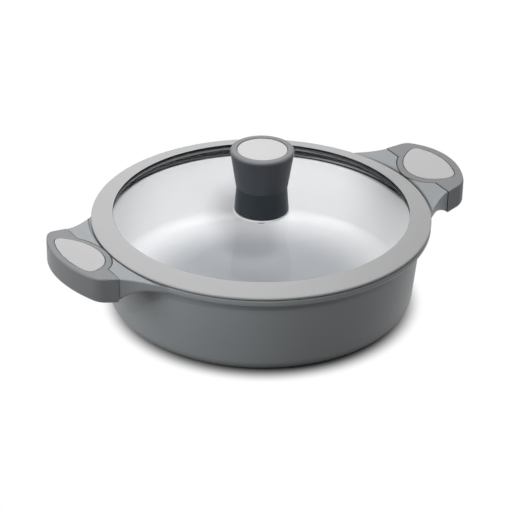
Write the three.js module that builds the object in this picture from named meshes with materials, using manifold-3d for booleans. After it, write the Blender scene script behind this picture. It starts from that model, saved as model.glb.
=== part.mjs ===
// Shallow cast pot with two side grips and a glass lid in a wide silicone rim.
// Millimetres, +Z up, origin on the floor under the pot's axis, grips along X.
import * as THREE from 'three';
import { mergeVertices } from 'three/addons/utils/BufferGeometryUtils.js';
import Module from 'manifold-3d';

const wasm = await Module();
wasm.setup();

// Clearances
const SEAT_GAP = 0.3;            // between pieces that rest on or in each other
const RUNNING_GAP = 0.8;         // round the lid, where it lifts past the lugs
const SEAM_GAP = 0.5;            // shadow line between lug and grip
const CUT_MARGIN = 2;            // how far a cutting solid runs past the face it opens

// Pot
const POT_HEIGHT = 76.4;
const WALL_TOP_RADIUS = 138.6;   // outside of the wall, just under the flare
const WALL_TAPER = THREE.MathUtils.degToRad(5.2);
const WALL_THICKNESS = 3.8;
const CORNER_RADIUS = 12.5;      // outside, between wall and base
const INNER_CORNER_RADIUS = 11;
const FLOOR_THICKNESS = 7;
const LIP_OVERHANG = 8.2;        // from the wall out to the lip's band
const LIP_BAND = 6.1;            // height of the band
const LIP_WALL = 7.2;            // from the mouth out to the band
const LIP_ROUND = 1.2;
const FLARE_HEIGHT = 6;          // cove between wall and band
const MOUTH_DEPTH = 9.3;         // rebate that takes the lid's skirt
const MOUTH_SHOULDER = 5;        // height of the curve from the rebate to the wall

// Induction disc
const DISC_RADIUS = 104;
const DISC_THICKNESS = 2.6;

// Handles: u runs outward from the rim's edge, v along the rim, w up from the sloping top face
const HANDLE_RISE = 3.3;         // top face above the pot's lip, at the rim's edge
const HANDLE_SLOPE = 0.188;      // rise of the top face for each millimetre outward
const LUG_REACH = 15.3;          // from the rim's edge to the joint with the grip
const LUG_DEPTH = 20.2;          // height of the lug at the joint
const LUG_COVE = 6;              // run of the curve between the lug's underside and the lip
const LUG_ROOT = 2;              // height of the underside over the band's lower edge, at the lip
const LUG_WING_ANGLE = THREE.MathUtils.degToRad(30.5);
const LUG_WING_SPREAD = 2.3;     // how far the wings have opened where they start to sweep
const LUG_WING_START = 12;       // length of the nearly straight part beside the joint
const GRIP_WIDTH = 99.4;         // along the joint
const GRIP_END_WIDTH = 93.7;      // between the outer corners
const GRIP_REACH = 48.5;         // from the rim's edge to the middle of the outer edge
const GRIP_EDGE_RADIUS = 79.5;   // outer edge in plan
const GRIP_CORNER = 5.8;
const GRIP_DEPTH = 23.9;         // at the joint
const GRIP_UNDER_SLOPE = 0.25;   // rise of the underside for each millimetre outward
const GRIP_TOP_ROUND = 1.8;
const GRIP_UNDER_ROUND = 4.2;
const PAD_BORDER = 6.8;          // grip showing between the pad and the outer edge
const PAD_INNER = 7.2;           // from the rim's edge to the pad
const PAD_INNER_RADIUS = 34;     // pad's inner arc
const PAD_TIP_RADIUS = 6.5;
const PAD_THICKNESS = 2.4;
const PAD_CROWN = 0.4;           // pad standing proud of the grip
const TONGUE_BORDER = 5.6;       // grip showing between the pad and the lug
const TONGUE_THICKNESS = 5.2;
const TANG_WIDTH = 58;
const TANG_LENGTH = 22;
const TANG_THICKNESS = 5.5;
const TANG_DROP = 7;             // from the top face to the tang
const TANG_ROOT = 6;             // length of the tang's root inside the lug
const HANDLE_SCREW_INSET = 13;   // from the joint to the screws
const HANDLE_SCREW_SPACING = 34;
const HANDLE_SCREW_RADIUS = 2.4;
const HANDLE_SCREW_HEAD_RADIUS = 4.4;
const HANDLE_SCREW_HEAD_HEIGHT = 2.8;
const HANDLE_SCREW_RECESS = 6.6; // from the grip's underside to the screw's seat
const HANDLE_SCREW_BITE = 4.5;   // thread in the tang

// Lid
const RIM_OVERHANG = 0.2;        // past the pot's lip
const RIM_WIDTH = 18.9;          // silicone seen from above
const RIM_EDGE_RISE = 3.1;       // top of the outer edge above the pot's lip
const RIM_EDGE_THICKNESS = 2.4;
const RIM_SLOPE_RISE = 4.8;      // from the outer edge up to the inner edge
const RIM_TOP_LIP = 2;           // silicone above the glass
const RIM_LOWER_LIP = 2;         // silicone below the glass
const RIM_LOWER_REACH = 6.6;     // how far the lower lip grips the glass
const RIM_SEAT_WIDTH = 3.6;      // flat that rests on the pot's lip
const SKIRT_THICKNESS = 3.6;
const SKIRT_DEPTH = 6.2;
const GLASS_THICKNESS = 4;
const GLASS_GRIP = 7.6;          // glass hidden under the rim's top lip
const GLASS_HOLE_RADIUS = 4.2;

// Knob, upward from the glass
const FOOT_RING_OVERHANG = 0.7;
const FOOT_RING_HEIGHT = 1.2;
const KNOB_FOOT_RADIUS = 23.6;
const KNOB_WAIST_RADIUS = 22.4;
const KNOB_WAIST_STEP = 0.6;     // lower part set in from the upper part at the waist
const KNOB_BASE_HEIGHT = 23.1;
const KNOB_TOP_RADIUS = 27.7;
const KNOB_GRIP_HEIGHT = 33.8;
const KNOB_EDGE_ROUND = 1.8;
const KNOB_SPIGOT_RADIUS = 14;
const KNOB_SPIGOT_HEIGHT = 4;
const CAP_RADIUS = 21.4;
const CAP_THICKNESS = 2.2;
const CAP_RECESS = 0.6;
const NUT_RADIUS = 5;
const NUT_LENGTH = 12;
const NUT_GROOVE = 0.5;
const KNOB_SCREW_RADIUS = 3;
const KNOB_SCREW_BITE = 9;       // thread in the nut
const KNOB_SCREW_HEAD_RADIUS = 6.2;
const KNOB_SCREW_HEAD_HEIGHT = 3.6;
const GASKET_RADIUS = 13;
const GASKET_THICKNESS = 1.8;
const WASHER_RADIUS = 10;
const WASHER_THICKNESS = 1.2;

// Screws, as shares of the head's or shank's own size
const DRIVE_RADIUS_SHARE = 0.5;  // hexagon drive
const DRIVE_DEPTH_SHARE = 0.6;
const HEAD_FACE_SHARE = 0.8;     // flat of the pan head
const HEAD_EDGE_SHARE = 0.55;    // upright edge of the pan head
const POINT_RADIUS_SHARE = 0.6;
const POINT_LENGTH_SHARE = 0.4;

// Facets
const RING_FACETS = 66;
const KNOB_FACETS = 36;
const SCREW_FACETS = 16;
const DRIVE_FACETS = 6;
const SWEEP_STEPS = 14;          // long arcs of the pad, the tongue and the grip
const WING_STEPS = 8;
const CURVE_STEPS = 5;
const ROUND_STEPS = 3;
const MERGE_DISTANCE = 1e-4;

// Finishes
function finish(color, roughness, metalness) {
  return new THREE.MeshStandardMaterial({ color, roughness, metalness });
}

const CAST_GREY = finish(0x6f7478, 0.55, 0.3);
const BASE_STEEL = finish(0xb4b6b8, 0.35, 1);
const GRIP_GREY = finish(0x7c7d80, 0.6, 0);
const PAD_GREY = finish(0xc6c5c5, 0.7, 0);
const RIM_GREY = finish(0xb9babc, 0.65, 0);
const KNOB_GREY = finish(0x5b5d61, 0.55, 0);
const KNOB_DARK = finish(0x3d4146, 0.5, 0);
const SCREW_STEEL = finish(0xb8babc, 0.3, 1);
const NUT_BRASS = finish(0xc2a45a, 0.35, 1);
const CLEAR_GLASS = new THREE.MeshStandardMaterial({
  color: 0xdfe8ea, roughness: 0.05, metalness: 0, transparent: true, opacity: 0.35,
});

// Heights and radii that several pieces share
const LIP_RADIUS = WALL_TOP_RADIUS + LIP_OVERHANG;
const MOUTH_RADIUS = LIP_RADIUS - LIP_WALL;
const FLARE_Z = POT_HEIGHT - LIP_BAND - FLARE_HEIGHT;
const RIM_RADIUS = LIP_RADIUS + RIM_OVERHANG;
const RIM_EDGE_Z = POT_HEIGHT + RIM_EDGE_RISE;
const RIM_INNER_RADIUS = RIM_RADIUS - RIM_WIDTH;
const RIM_INNER_Z = RIM_EDGE_Z + RIM_SLOPE_RISE;
const GLASS_RADIUS = RIM_INNER_RADIUS + GLASS_GRIP;
const GLASS_TOP_Z = RIM_INNER_Z - RIM_TOP_LIP - SEAT_GAP;
const GLASS_UNDER_Z = GLASS_TOP_Z - GLASS_THICKNESS;
const FOOT_RING_Z = GLASS_TOP_Z + SEAT_GAP;
const KNOB_BASE_Z = FOOT_RING_Z + FOOT_RING_HEIGHT + SEAT_GAP;
const KNOB_GRIP_Z = KNOB_BASE_Z + KNOB_BASE_HEIGHT + SEAT_GAP;
const KNOB_TOP_Z = KNOB_GRIP_Z + KNOB_GRIP_HEIGHT;
const SPIGOT_TOP_Z = KNOB_GRIP_Z - SEAT_GAP + KNOB_SPIGOT_HEIGHT;
const NUT_Z = SPIGOT_TOP_Z + SEAT_GAP;
const GASKET_Z = GLASS_UNDER_Z - SEAT_GAP - GASKET_THICKNESS;
const WASHER_Z = GASKET_Z - SEAT_GAP - WASHER_THICKNESS;
const KNOB_SCREW_SEAT_Z = WASHER_Z - SEAT_GAP;

// Solids: a merged, closed geometry goes in, joins and cuts are made, a geometry comes out.
function toSolid(geometry) {
  const bare = geometry.clone();
  for (const name of Object.keys(bare.attributes)) {
    if (name !== 'position') bare.deleteAttribute(name);
  }
  const merged = mergeVertices(bare, MERGE_DISTANCE);
  const index = merged.index.array;
  const kept = [];
  for (let i = 0; i < index.length; i += 3) {
    const [a, b, c] = [index[i], index[i + 1], index[i + 2]];
    if (a !== b && b !== c && c !== a) kept.push(a, b, c);
  }
  return new wasm.Manifold(new wasm.Mesh({
    numProp: 3,
    vertProperties: new Float32Array(merged.attributes.position.array),
    triVerts: new Uint32Array(kept),
  }));
}

function toGeometry(solid) {
  const mesh = solid.getMesh();
  const geometry = new THREE.BufferGeometry();
  geometry.setAttribute('position', new THREE.BufferAttribute(mesh.vertProperties, 3));
  geometry.setIndex(new THREE.BufferAttribute(mesh.triVerts, 1));
  geometry.computeVertexNormals();
  return geometry;
}

// A profile in radius and height, anticlockwise, turned about Z.
// The first corner of the facets lies on +X
function turned(points, facets) {
  const lathe = new THREE.LatheGeometry(points, facets);
  return toSolid(lathe.rotateX(Math.PI / 2).rotateZ(Math.PI / 2));
}

const at = (x, y) => new THREE.Vector2(x, y);

function loop(points) {
  return [...points, points[0].clone()];
}

function ring(innerRadius, outerRadius, lowZ, highZ, facets) {
  return turned(loop([
    at(innerRadius, lowZ),
    at(outerRadius, lowZ),
    at(outerRadius, highZ),
    at(innerRadius, highZ),
  ]), facets);
}

function rod(radius, lowZ, highZ, facets) {
  return turned([at(0, lowZ), at(radius, lowZ), at(radius, highZ), at(0, highZ)], facets);
}

function arc(centreX, centreY, radius, from, to, steps = CURVE_STEPS) {
  const points = [];
  for (let i = 0; i <= steps; i += 1) {
    const angle = from + (to - from) * (i / steps);
    points.push(at(centreX + radius * Math.cos(angle), centreY + radius * Math.sin(angle)));
  }
  return points;
}

function bend(start, control, end, steps = CURVE_STEPS) {
  return new THREE.QuadraticBezierCurve(start, control, end).getPoints(steps);
}

// An outline in u and v, extruded from one height to another, with its edges rounded or square.
function slab(outline, lowW, highW, round = 0) {
  const geometry = new THREE.ExtrudeGeometry(new THREE.Shape(outline), {
    depth: highW - lowW - 2 * round,
    curveSegments: 1,
    bevelEnabled: round > 0,
    bevelThickness: round,
    bevelSize: round,
    bevelOffset: -round,
    bevelSegments: ROUND_STEPS,
  });
  return toSolid(geometry.translate(0, 0, lowW + round));
}

// An outline in u and w, extruded along v and centred on v = 0.
function bar(outline, width) {
  const geometry = new THREE.ExtrudeGeometry(new THREE.Shape(outline), { depth: width, bevelEnabled: false });
  geometry.translate(0, 0, -width / 2);
  return toSolid(geometry.rotateX(Math.PI / 2));
}

function block(lowU, highU, width, lowW, highW) {
  const geometry = new THREE.BoxGeometry(highU - lowU, width, highW - lowW);
  return toSolid(geometry.translate((lowU + highU) / 2, 0, (lowW + highW) / 2));
}

// A screw that points up, its seat under the head's upper face at height zero.
function screw(radius, length, headRadius, headHeight) {
  const body = turned([
    at(0, -headHeight),
    at(headRadius * HEAD_FACE_SHARE, -headHeight),
    at(headRadius, -headHeight * HEAD_EDGE_SHARE),
    at(headRadius, 0),
    at(radius, 0),
    at(radius, length - radius * POINT_LENGTH_SHARE),
    at(radius * POINT_RADIUS_SHARE, length),
    at(0, length),
  ], SCREW_FACETS);
  const driveRadius = headRadius * DRIVE_RADIUS_SHARE;
  const driveFloor = headHeight * DRIVE_DEPTH_SHARE - headHeight;
  return body.subtract(rod(driveRadius, -headHeight - CUT_MARGIN, driveFloor, DRIVE_FACETS));
}

// Pot wall: radius of the outer face, or of the inner one, at a height
const wallRadius = (z) => WALL_TOP_RADIUS - (FLARE_Z - z) * Math.tan(WALL_TAPER);
const innerRadius = (z) => wallRadius(z) - WALL_THICKNESS / Math.cos(WALL_TAPER);

// Points of the rounded corner between a flat at height z and a wall given by its radius
function corner(z, radius, wall) {
  const centreZ = z + radius;
  const tangentZ = centreZ - radius * Math.sin(WALL_TAPER);
  const centreR = wall(tangentZ) - radius * Math.cos(WALL_TAPER);
  return arc(centreR, centreZ, radius, -Math.PI / 2, -WALL_TAPER);
}

// Inside of the pot, from the floor's middle up to the mouth's edge
function innerProfile() {
  const rebateZ = POT_HEIGHT - MOUTH_DEPTH;
  const shoulderZ = rebateZ - MOUTH_SHOULDER;
  return [
    at(0, FLOOR_THICKNESS),
    ...corner(FLOOR_THICKNESS, INNER_CORNER_RADIUS, innerRadius),
    ...bend(
      at(innerRadius(shoulderZ), shoulderZ),
      at(innerRadius(rebateZ), rebateZ),
      at(MOUTH_RADIUS, rebateZ),
    ),
    at(MOUTH_RADIUS, POT_HEIGHT - LIP_ROUND),
    at(MOUTH_RADIUS + LIP_ROUND, POT_HEIGHT),
  ];
}

function potShell() {
  const recessRadius = DISC_RADIUS + SEAT_GAP;
  const recessZ = DISC_THICKNESS + SEAT_GAP;
  const bandZ = POT_HEIGHT - LIP_BAND;
  const outer = [
    at(0, recessZ),
    at(recessRadius, recessZ),
    at(recessRadius, 0),
    ...corner(0, CORNER_RADIUS, wallRadius),
    ...bend(
      at(WALL_TOP_RADIUS, FLARE_Z),
      at(wallRadius(bandZ), bandZ),
      at(LIP_RADIUS - LIP_ROUND, bandZ),
    ),
    at(LIP_RADIUS, bandZ + LIP_ROUND),
    ...arc(LIP_RADIUS - LIP_ROUND, POT_HEIGHT - LIP_ROUND, LIP_ROUND, 0, Math.PI / 2, ROUND_STEPS),
  ];
  return turned([...outer, ...innerProfile().reverse()], RING_FACETS);
}

// Circles of the handle in plan, as a centre on the u axis and a radius
const EDGE_CENTRE = GRIP_REACH - GRIP_EDGE_RADIUS;
const PAD_OUTER_RADIUS = GRIP_EDGE_RADIUS - PAD_BORDER;
const PAD_INNER_CENTRE = PAD_INNER + PAD_INNER_RADIUS;
const TONGUE_RADIUS = PAD_INNER_RADIUS + TONGUE_BORDER;

// Lens of the pad: two arcs whose tips are rounded, grown outward by a gap
function padOutline(gap) {
  const tip = PAD_TIP_RADIUS + gap;
  const innerArc = PAD_INNER_RADIUS + gap;
  const outerArc = PAD_OUTER_RADIUS + gap;
  const toInner = innerArc - tip;
  const toOuter = outerArc - tip;
  const span = PAD_INNER_CENTRE - EDGE_CENTRE;
  const along = (toOuter ** 2 - toInner ** 2 + span ** 2) / (2 * span);
  const across = Math.sqrt(toOuter ** 2 - along ** 2);
  const outerAngle = Math.atan2(across, along);
  const innerAngle = Math.atan2(across, along - span);
  const tipU = EDGE_CENTRE + along;
  return [
    ...arc(EDGE_CENTRE, 0, outerArc, -outerAngle, outerAngle, SWEEP_STEPS),
    ...arc(tipU, across, tip, outerAngle, innerAngle).slice(1),
    ...arc(PAD_INNER_CENTRE, 0, innerArc, innerAngle, 2 * Math.PI - innerAngle, SWEEP_STEPS).slice(1),
    ...arc(tipU, -across, tip, -innerAngle, -outerAngle).slice(1, -1),
  ];
}

// Tongue of the grip round the pad's inner side, grown outward by a gap, run out to a given u
function tongueOutline(gap, endU) {
  const radius = TONGUE_RADIUS + gap;
  const half = Math.acos((LUG_REACH - PAD_INNER_CENTRE) / radius);
  const inner = arc(PAD_INNER_CENTRE, 0, radius, half, 2 * Math.PI - half, SWEEP_STEPS);
  const halfWidth = inner[0].y;
  return [...inner, at(endU, -halfWidth), at(endU, halfWidth)];
}

// Grip in plan: joint side, side lines, rounded corners and the bulging outer edge
function gripOutline(innerU) {
  const halfJoint = GRIP_WIDTH / 2;
  const halfEnd = GRIP_END_WIDTH / 2;
  const cornerAngle = Math.asin(halfEnd / GRIP_EDGE_RADIUS);
  const corner = at(EDGE_CENTRE + GRIP_EDGE_RADIUS * Math.cos(cornerAngle), halfEnd);
  const sideDirection = at(corner.x - LUG_REACH, halfEnd - halfJoint).normalize();
  const before = corner.clone().addScaledVector(sideDirection, -GRIP_CORNER);
  const edgeAngle = cornerAngle - GRIP_CORNER / GRIP_EDGE_RADIUS;
  const edge = arc(EDGE_CENTRE, 0, GRIP_EDGE_RADIUS, -edgeAngle, edgeAngle, SWEEP_STEPS);
  const upper = bend(edge[edge.length - 1], corner, before);
  const mirrored = upper.map((p) => at(p.x, -p.y)).reverse();
  const slope = sideDirection.y / sideDirection.x;
  const innerHalf = halfJoint + (innerU - LUG_REACH) * slope;
  return [
    at(innerU, -innerHalf),
    ...mirrored,
    ...edge.slice(1, -1),
    ...upper,
    at(innerU, innerHalf),
  ];
}

// Lug in plan: the joint's width, sweeping out to meet the lip at the wing angle
function lugOutline() {
  const jointU = LUG_REACH - SEAM_GAP;
  const half = GRIP_WIDTH / 2;
  const wingCos = Math.cos(LUG_WING_ANGLE);
  const wingSin = Math.sin(LUG_WING_ANGLE);
  const onWing = (radius) => at(radius * wingCos - RIM_RADIUS, radius * wingSin);
  const sweep = at(jointU - LUG_WING_START, half + LUG_WING_SPREAD);
  const wing = bend(at(jointU, half), sweep, onWing(LIP_RADIUS - LIP_ROUND), WING_STEPS);
  const upper = [...wing, onWing(MOUTH_RADIUS)];
  return [...upper, ...upper.map((p) => at(p.x, -p.y)).reverse()];
}

// Lug from the side: top along the slope, underside rising in a cove into the lip's band
function lugSide() {
  const jointU = LUG_REACH - SEAM_GAP;
  const rootDepth = HANDLE_RISE + LIP_BAND - LUG_ROOT;
  const levelDepth = (u) => rootDepth + u * HANDLE_SLOPE;
  const levelRun = rootDepth / HANDLE_SLOPE;
  return [
    at(-levelRun, 0),
    ...bend(at(-LUG_COVE, -levelDepth(-LUG_COVE)), at(0, -levelDepth(0)), at(jointU, -LUG_DEPTH)),
    at(jointU, 0),
  ];
}

// Carries a solid from the handle's own u, v, w to the right-hand side of the pot.
// Uprights stay upright; level faces take the given slope, turning about the given u.
function leaned(solid, slope = HANDLE_SLOPE, pivotU = 0) {
  const shear = new THREE.Matrix4().makeShear(0, slope, 0, 0, 0, 0);
  const pivotRise = pivotU * (HANDLE_SLOPE - slope);
  shear.setPosition(RIM_RADIUS, 0, POT_HEIGHT + HANDLE_RISE + pivotRise);
  return toSolid(toGeometry(solid).applyMatrix4(shear));
}

// Handle screws: upright, from the grip's underside into the tang
const HANDLE_SCREW_U = LUG_REACH + HANDLE_SCREW_INSET;
const topZ = (u) => POT_HEIGHT + HANDLE_RISE + u * HANDLE_SLOPE;
const gripUnderZ = (u) => topZ(LUG_REACH) - GRIP_DEPTH + (u - LUG_REACH) * GRIP_UNDER_SLOPE;
const TANG_LOW_W = -TANG_DROP - TANG_THICKNESS;
const SCREW_TANG_Z = topZ(HANDLE_SCREW_U) + TANG_LOW_W;
const SCREW_SEAT_Z = gripUnderZ(HANDLE_SCREW_U) + HANDLE_SCREW_RECESS;
const SCREW_LENGTH = SCREW_TANG_Z + HANDLE_SCREW_BITE - SCREW_SEAT_Z;

function screwHole(radius, lowZ, highZ, side) {
  const hole = toGeometry(rod(radius, lowZ, highZ, SCREW_FACETS));
  return toSolid(hole.translate(RIM_RADIUS + HANDLE_SCREW_U, side * HANDLE_SCREW_SPACING / 2, 0));
}

// Lug with its tang, on the right-hand side of the pot
function lug() {
  const body = slab(lugOutline(), -LUG_DEPTH, 0).intersect(bar(lugSide(), 2 * LIP_RADIUS));
  const tang = block(LUG_REACH - TANG_ROOT, LUG_REACH + TANG_LENGTH, TANG_WIDTH, TANG_LOW_W, -TANG_DROP);
  const recess = slab(
    tongueOutline(SEAM_GAP, LUG_REACH + CUT_MARGIN),
    -TONGUE_THICKNESS - SEAT_GAP,
    CUT_MARGIN,
  );
  let solid = leaned(body.add(tang).subtract(recess));
  const tapRadius = HANDLE_SCREW_RADIUS + SEAT_GAP;
  for (const side of [-1, 1]) {
    solid = solid.subtract(screwHole(tapRadius, gripUnderZ(0), topZ(GRIP_REACH), side));
  }
  return solid;
}

// Grip, on the right-hand side of the pot
function grip() {
  const half = GRIP_DEPTH / 2;
  const innerU = LUG_REACH - 2 * GRIP_TOP_ROUND;
  const upper = slab(gripOutline(innerU), -half - 2 * GRIP_TOP_ROUND, 0, GRIP_TOP_ROUND);
  const lower = slab(gripOutline(LUG_REACH), -GRIP_DEPTH, GRIP_UNDER_ROUND - half, GRIP_UNDER_ROUND);
  const beyondJoint = block(innerU - CUT_MARGIN, LUG_REACH, 2 * GRIP_WIDTH, -GRIP_DEPTH, CUT_MARGIN);
  const tongue = slab(tongueOutline(0, LUG_REACH + CUT_MARGIN), -TONGUE_THICKNESS, 0);
  const padSeat = slab(padOutline(SEAT_GAP), PAD_CROWN - PAD_THICKNESS - SEAT_GAP, CUT_MARGIN);
  const socket = block(
    LUG_REACH - CUT_MARGIN,
    LUG_REACH + TANG_LENGTH + SEAT_GAP,
    TANG_WIDTH + 2 * SEAT_GAP,
    TANG_LOW_W - SEAT_GAP,
    SEAT_GAP - TANG_DROP,
  );
  const shell = leaned(upper.subtract(beyondJoint)).add(leaned(lower, GRIP_UNDER_SLOPE, LUG_REACH));
  let solid = shell.add(leaned(tongue)).subtract(leaned(padSeat)).subtract(leaned(socket));
  const lowZ = gripUnderZ(0);
  const tipZ = SCREW_TANG_Z + HANDLE_SCREW_BITE;
  for (const side of [-1, 1]) {
    const shank = screwHole(HANDLE_SCREW_RADIUS + SEAT_GAP, lowZ, tipZ, side);
    const head = screwHole(HANDLE_SCREW_HEAD_RADIUS + SEAT_GAP, lowZ, SCREW_SEAT_Z, side);
    solid = solid.subtract(shank).subtract(head);
  }
  return solid;
}

const pad = () => leaned(slab(padOutline(0), PAD_CROWN - PAD_THICKNESS, PAD_CROWN, PAD_CROWN));

const HANDLE_SIDES = [
  { name: 'right', turn: 0, front: -1 },
  { name: 'left', turn: Math.PI, front: 1 },
];

// Shell and lugs in one casting. The lugs start inside the lip and leave room for the lid.
function potBody() {
  const topOfLug = topZ(LUG_REACH) + CUT_MARGIN;
  const lidRoom = rod(RIM_RADIUS + RUNNING_GAP, POT_HEIGHT, topOfLug, RING_FACETS);
  const core = rod(LIP_RADIUS - LIP_WALL / 2, 0, topOfLug, RING_FACETS);
  const rightLug = lug().subtract(lidRoom).subtract(core);
  let solid = potShell();
  for (const { turn } of HANDLE_SIDES) {
    solid = solid.add(toSolid(toGeometry(rightLug).rotateZ(turn)));
  }
  return solid;
}

// Lid glass: a flat disc with a hole for the knob's screw
function lidGlass() {
  return ring(GLASS_HOLE_RADIUS, GLASS_RADIUS, GLASS_UNDER_Z, GLASS_TOP_Z, RING_FACETS);
}

// Silicone rim: a channel round the glass, a sloping top, a seat on the pot's lip and a skirt
function lidRim() {
  const channelRadius = GLASS_RADIUS + SEAT_GAP;
  const channelTop = RIM_INNER_Z - RIM_TOP_LIP;
  const channelLow = GLASS_UNDER_Z - SEAT_GAP;
  const seatZ = POT_HEIGHT + SEAT_GAP;
  const skirtRadius = MOUTH_RADIUS - SEAT_GAP;
  const skirtLow = seatZ - SKIRT_DEPTH;
  const lowerReach = GLASS_RADIUS - RIM_LOWER_REACH;
  const seatEdge = MOUTH_RADIUS + RIM_SEAT_WIDTH;
  const edgeLow = RIM_EDGE_Z - RIM_EDGE_THICKNESS;
  const edgeRound = RIM_EDGE_THICKNESS / 2;
  const skirtInner = skirtRadius - SKIRT_THICKNESS;
  return turned(loop([
    at(skirtInner, channelLow - RIM_LOWER_LIP),
    at(skirtInner, skirtLow + SKIRT_THICKNESS / 2),
    at(skirtInner + SKIRT_THICKNESS / 2, skirtLow),
    at(skirtRadius, skirtLow + SKIRT_THICKNESS / 2),
    at(skirtRadius, seatZ),
    at(seatEdge, seatZ),
    at(seatEdge, edgeLow),
    ...arc(RIM_RADIUS - edgeRound, edgeLow + edgeRound, edgeRound, -Math.PI / 2, Math.PI / 2),
    at(RIM_INNER_RADIUS + RIM_TOP_LIP / 2, RIM_INNER_Z),
    at(RIM_INNER_RADIUS, RIM_INNER_Z - RIM_TOP_LIP / 2),
    at(RIM_INNER_RADIUS, channelTop),
    at(channelRadius, channelTop),
    at(channelRadius, channelLow),
    at(lowerReach, channelLow),
    at(lowerReach, channelLow - RIM_LOWER_LIP),
  ]), RING_FACETS);
}

const SHANK_HOLE = KNOB_SCREW_RADIUS + SEAT_GAP;

function knobFootRing() {
  const radius = KNOB_FOOT_RADIUS + FOOT_RING_OVERHANG;
  return ring(SHANK_HOLE, radius, FOOT_RING_Z, FOOT_RING_Z + FOOT_RING_HEIGHT, KNOB_FACETS);
}

function knobBase() {
  const topZ = KNOB_BASE_Z + KNOB_BASE_HEIGHT;
  return turned(loop([
    at(SHANK_HOLE, KNOB_BASE_Z),
    at(KNOB_FOOT_RADIUS, KNOB_BASE_Z),
    at(KNOB_WAIST_RADIUS - KNOB_WAIST_STEP, topZ),
    at(KNOB_SPIGOT_RADIUS, topZ),
    at(KNOB_SPIGOT_RADIUS, topZ + KNOB_SPIGOT_HEIGHT),
    at(SHANK_HOLE, topZ + KNOB_SPIGOT_HEIGHT),
  ]), KNOB_FACETS);
}

function knobGrip() {
  const spigotRadius = KNOB_SPIGOT_RADIUS + SEAT_GAP;
  const nutRadius = NUT_RADIUS + SEAT_GAP;
  const nutTop = NUT_Z + NUT_LENGTH + SEAT_GAP;
  const capRadius = CAP_RADIUS + SEAT_GAP;
  const capFloor = KNOB_TOP_Z - CAP_RECESS - CAP_THICKNESS - SEAT_GAP;
  const edgeRadius = KNOB_TOP_RADIUS - KNOB_EDGE_ROUND;
  const edgeZ = KNOB_TOP_Z - KNOB_EDGE_ROUND;
  return turned([
    at(0, nutTop),
    at(nutRadius, nutTop),
    at(nutRadius, SPIGOT_TOP_Z + SEAT_GAP),
    at(spigotRadius, SPIGOT_TOP_Z + SEAT_GAP),
    at(spigotRadius, KNOB_GRIP_Z),
    at(KNOB_WAIST_RADIUS, KNOB_GRIP_Z),
    ...arc(edgeRadius, edgeZ, KNOB_EDGE_ROUND, 0, Math.PI / 2),
    at(capRadius, KNOB_TOP_Z),
    at(capRadius, capFloor),
    at(0, capFloor),
  ], KNOB_FACETS);
}

function knobCap() {
  const topZ = KNOB_TOP_Z - CAP_RECESS;
  const lowZ = topZ - CAP_THICKNESS;
  return turned([
    at(0, lowZ),
    at(CAP_RADIUS, lowZ),
    at(CAP_RADIUS, topZ - CAP_RECESS),
    at(CAP_RADIUS - CAP_RECESS, topZ),
    at(0, topZ),
  ], KNOB_FACETS);
}

function knobNut() {
  const grooveLow = NUT_Z + NUT_LENGTH / 3;
  const grooveHigh = NUT_Z + 2 * NUT_LENGTH / 3;
  return turned(loop([
    at(SHANK_HOLE, NUT_Z),
    at(NUT_RADIUS, NUT_Z),
    at(NUT_RADIUS, grooveLow),
    at(NUT_RADIUS - NUT_GROOVE, grooveLow + NUT_GROOVE),
    at(NUT_RADIUS - NUT_GROOVE, grooveHigh - NUT_GROOVE),
    at(NUT_RADIUS, grooveHigh),
    at(NUT_RADIUS, NUT_Z + NUT_LENGTH),
    at(SHANK_HOLE, NUT_Z + NUT_LENGTH),
  ]), SCREW_FACETS);
}

function knobScrew() {
  const length = NUT_Z + KNOB_SCREW_BITE - KNOB_SCREW_SEAT_Z;
  return screw(KNOB_SCREW_RADIUS, length, KNOB_SCREW_HEAD_RADIUS, KNOB_SCREW_HEAD_HEIGHT);
}

function addMesh(parent, name, solid, material) {
  const mesh = new THREE.Mesh(toGeometry(solid), material);
  mesh.name = name;
  parent.add(mesh);
  return mesh;
}

// Assembly
const pot = new THREE.Group();
addMesh(pot, 'pot_body', potBody(), CAST_GREY);
addMesh(pot, 'induction_disc', rod(DISC_RADIUS, 0, DISC_THICKNESS, RING_FACETS), BASE_STEEL);

for (const { name, turn, front } of HANDLE_SIDES) {
  const handle = new THREE.Group();
  handle.rotation.z = turn;
  addMesh(handle, `handle_grip_${name}`, grip(), GRIP_GREY);
  addMesh(handle, `handle_insert_${name}`, pad(), PAD_GREY);
  for (const [place, side] of [['front', front], ['back', -front]]) {
    const fastener = addMesh(
      handle,
      `handle_screw_${name}_${place}`,
      screw(HANDLE_SCREW_RADIUS, SCREW_LENGTH, HANDLE_SCREW_HEAD_RADIUS, HANDLE_SCREW_HEAD_HEIGHT),
      SCREW_STEEL,
    );
    const screwX = RIM_RADIUS + HANDLE_SCREW_U;
    fastener.position.set(screwX, side * HANDLE_SCREW_SPACING / 2, SCREW_SEAT_Z - SEAT_GAP);
  }
  pot.add(handle);
}

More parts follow.
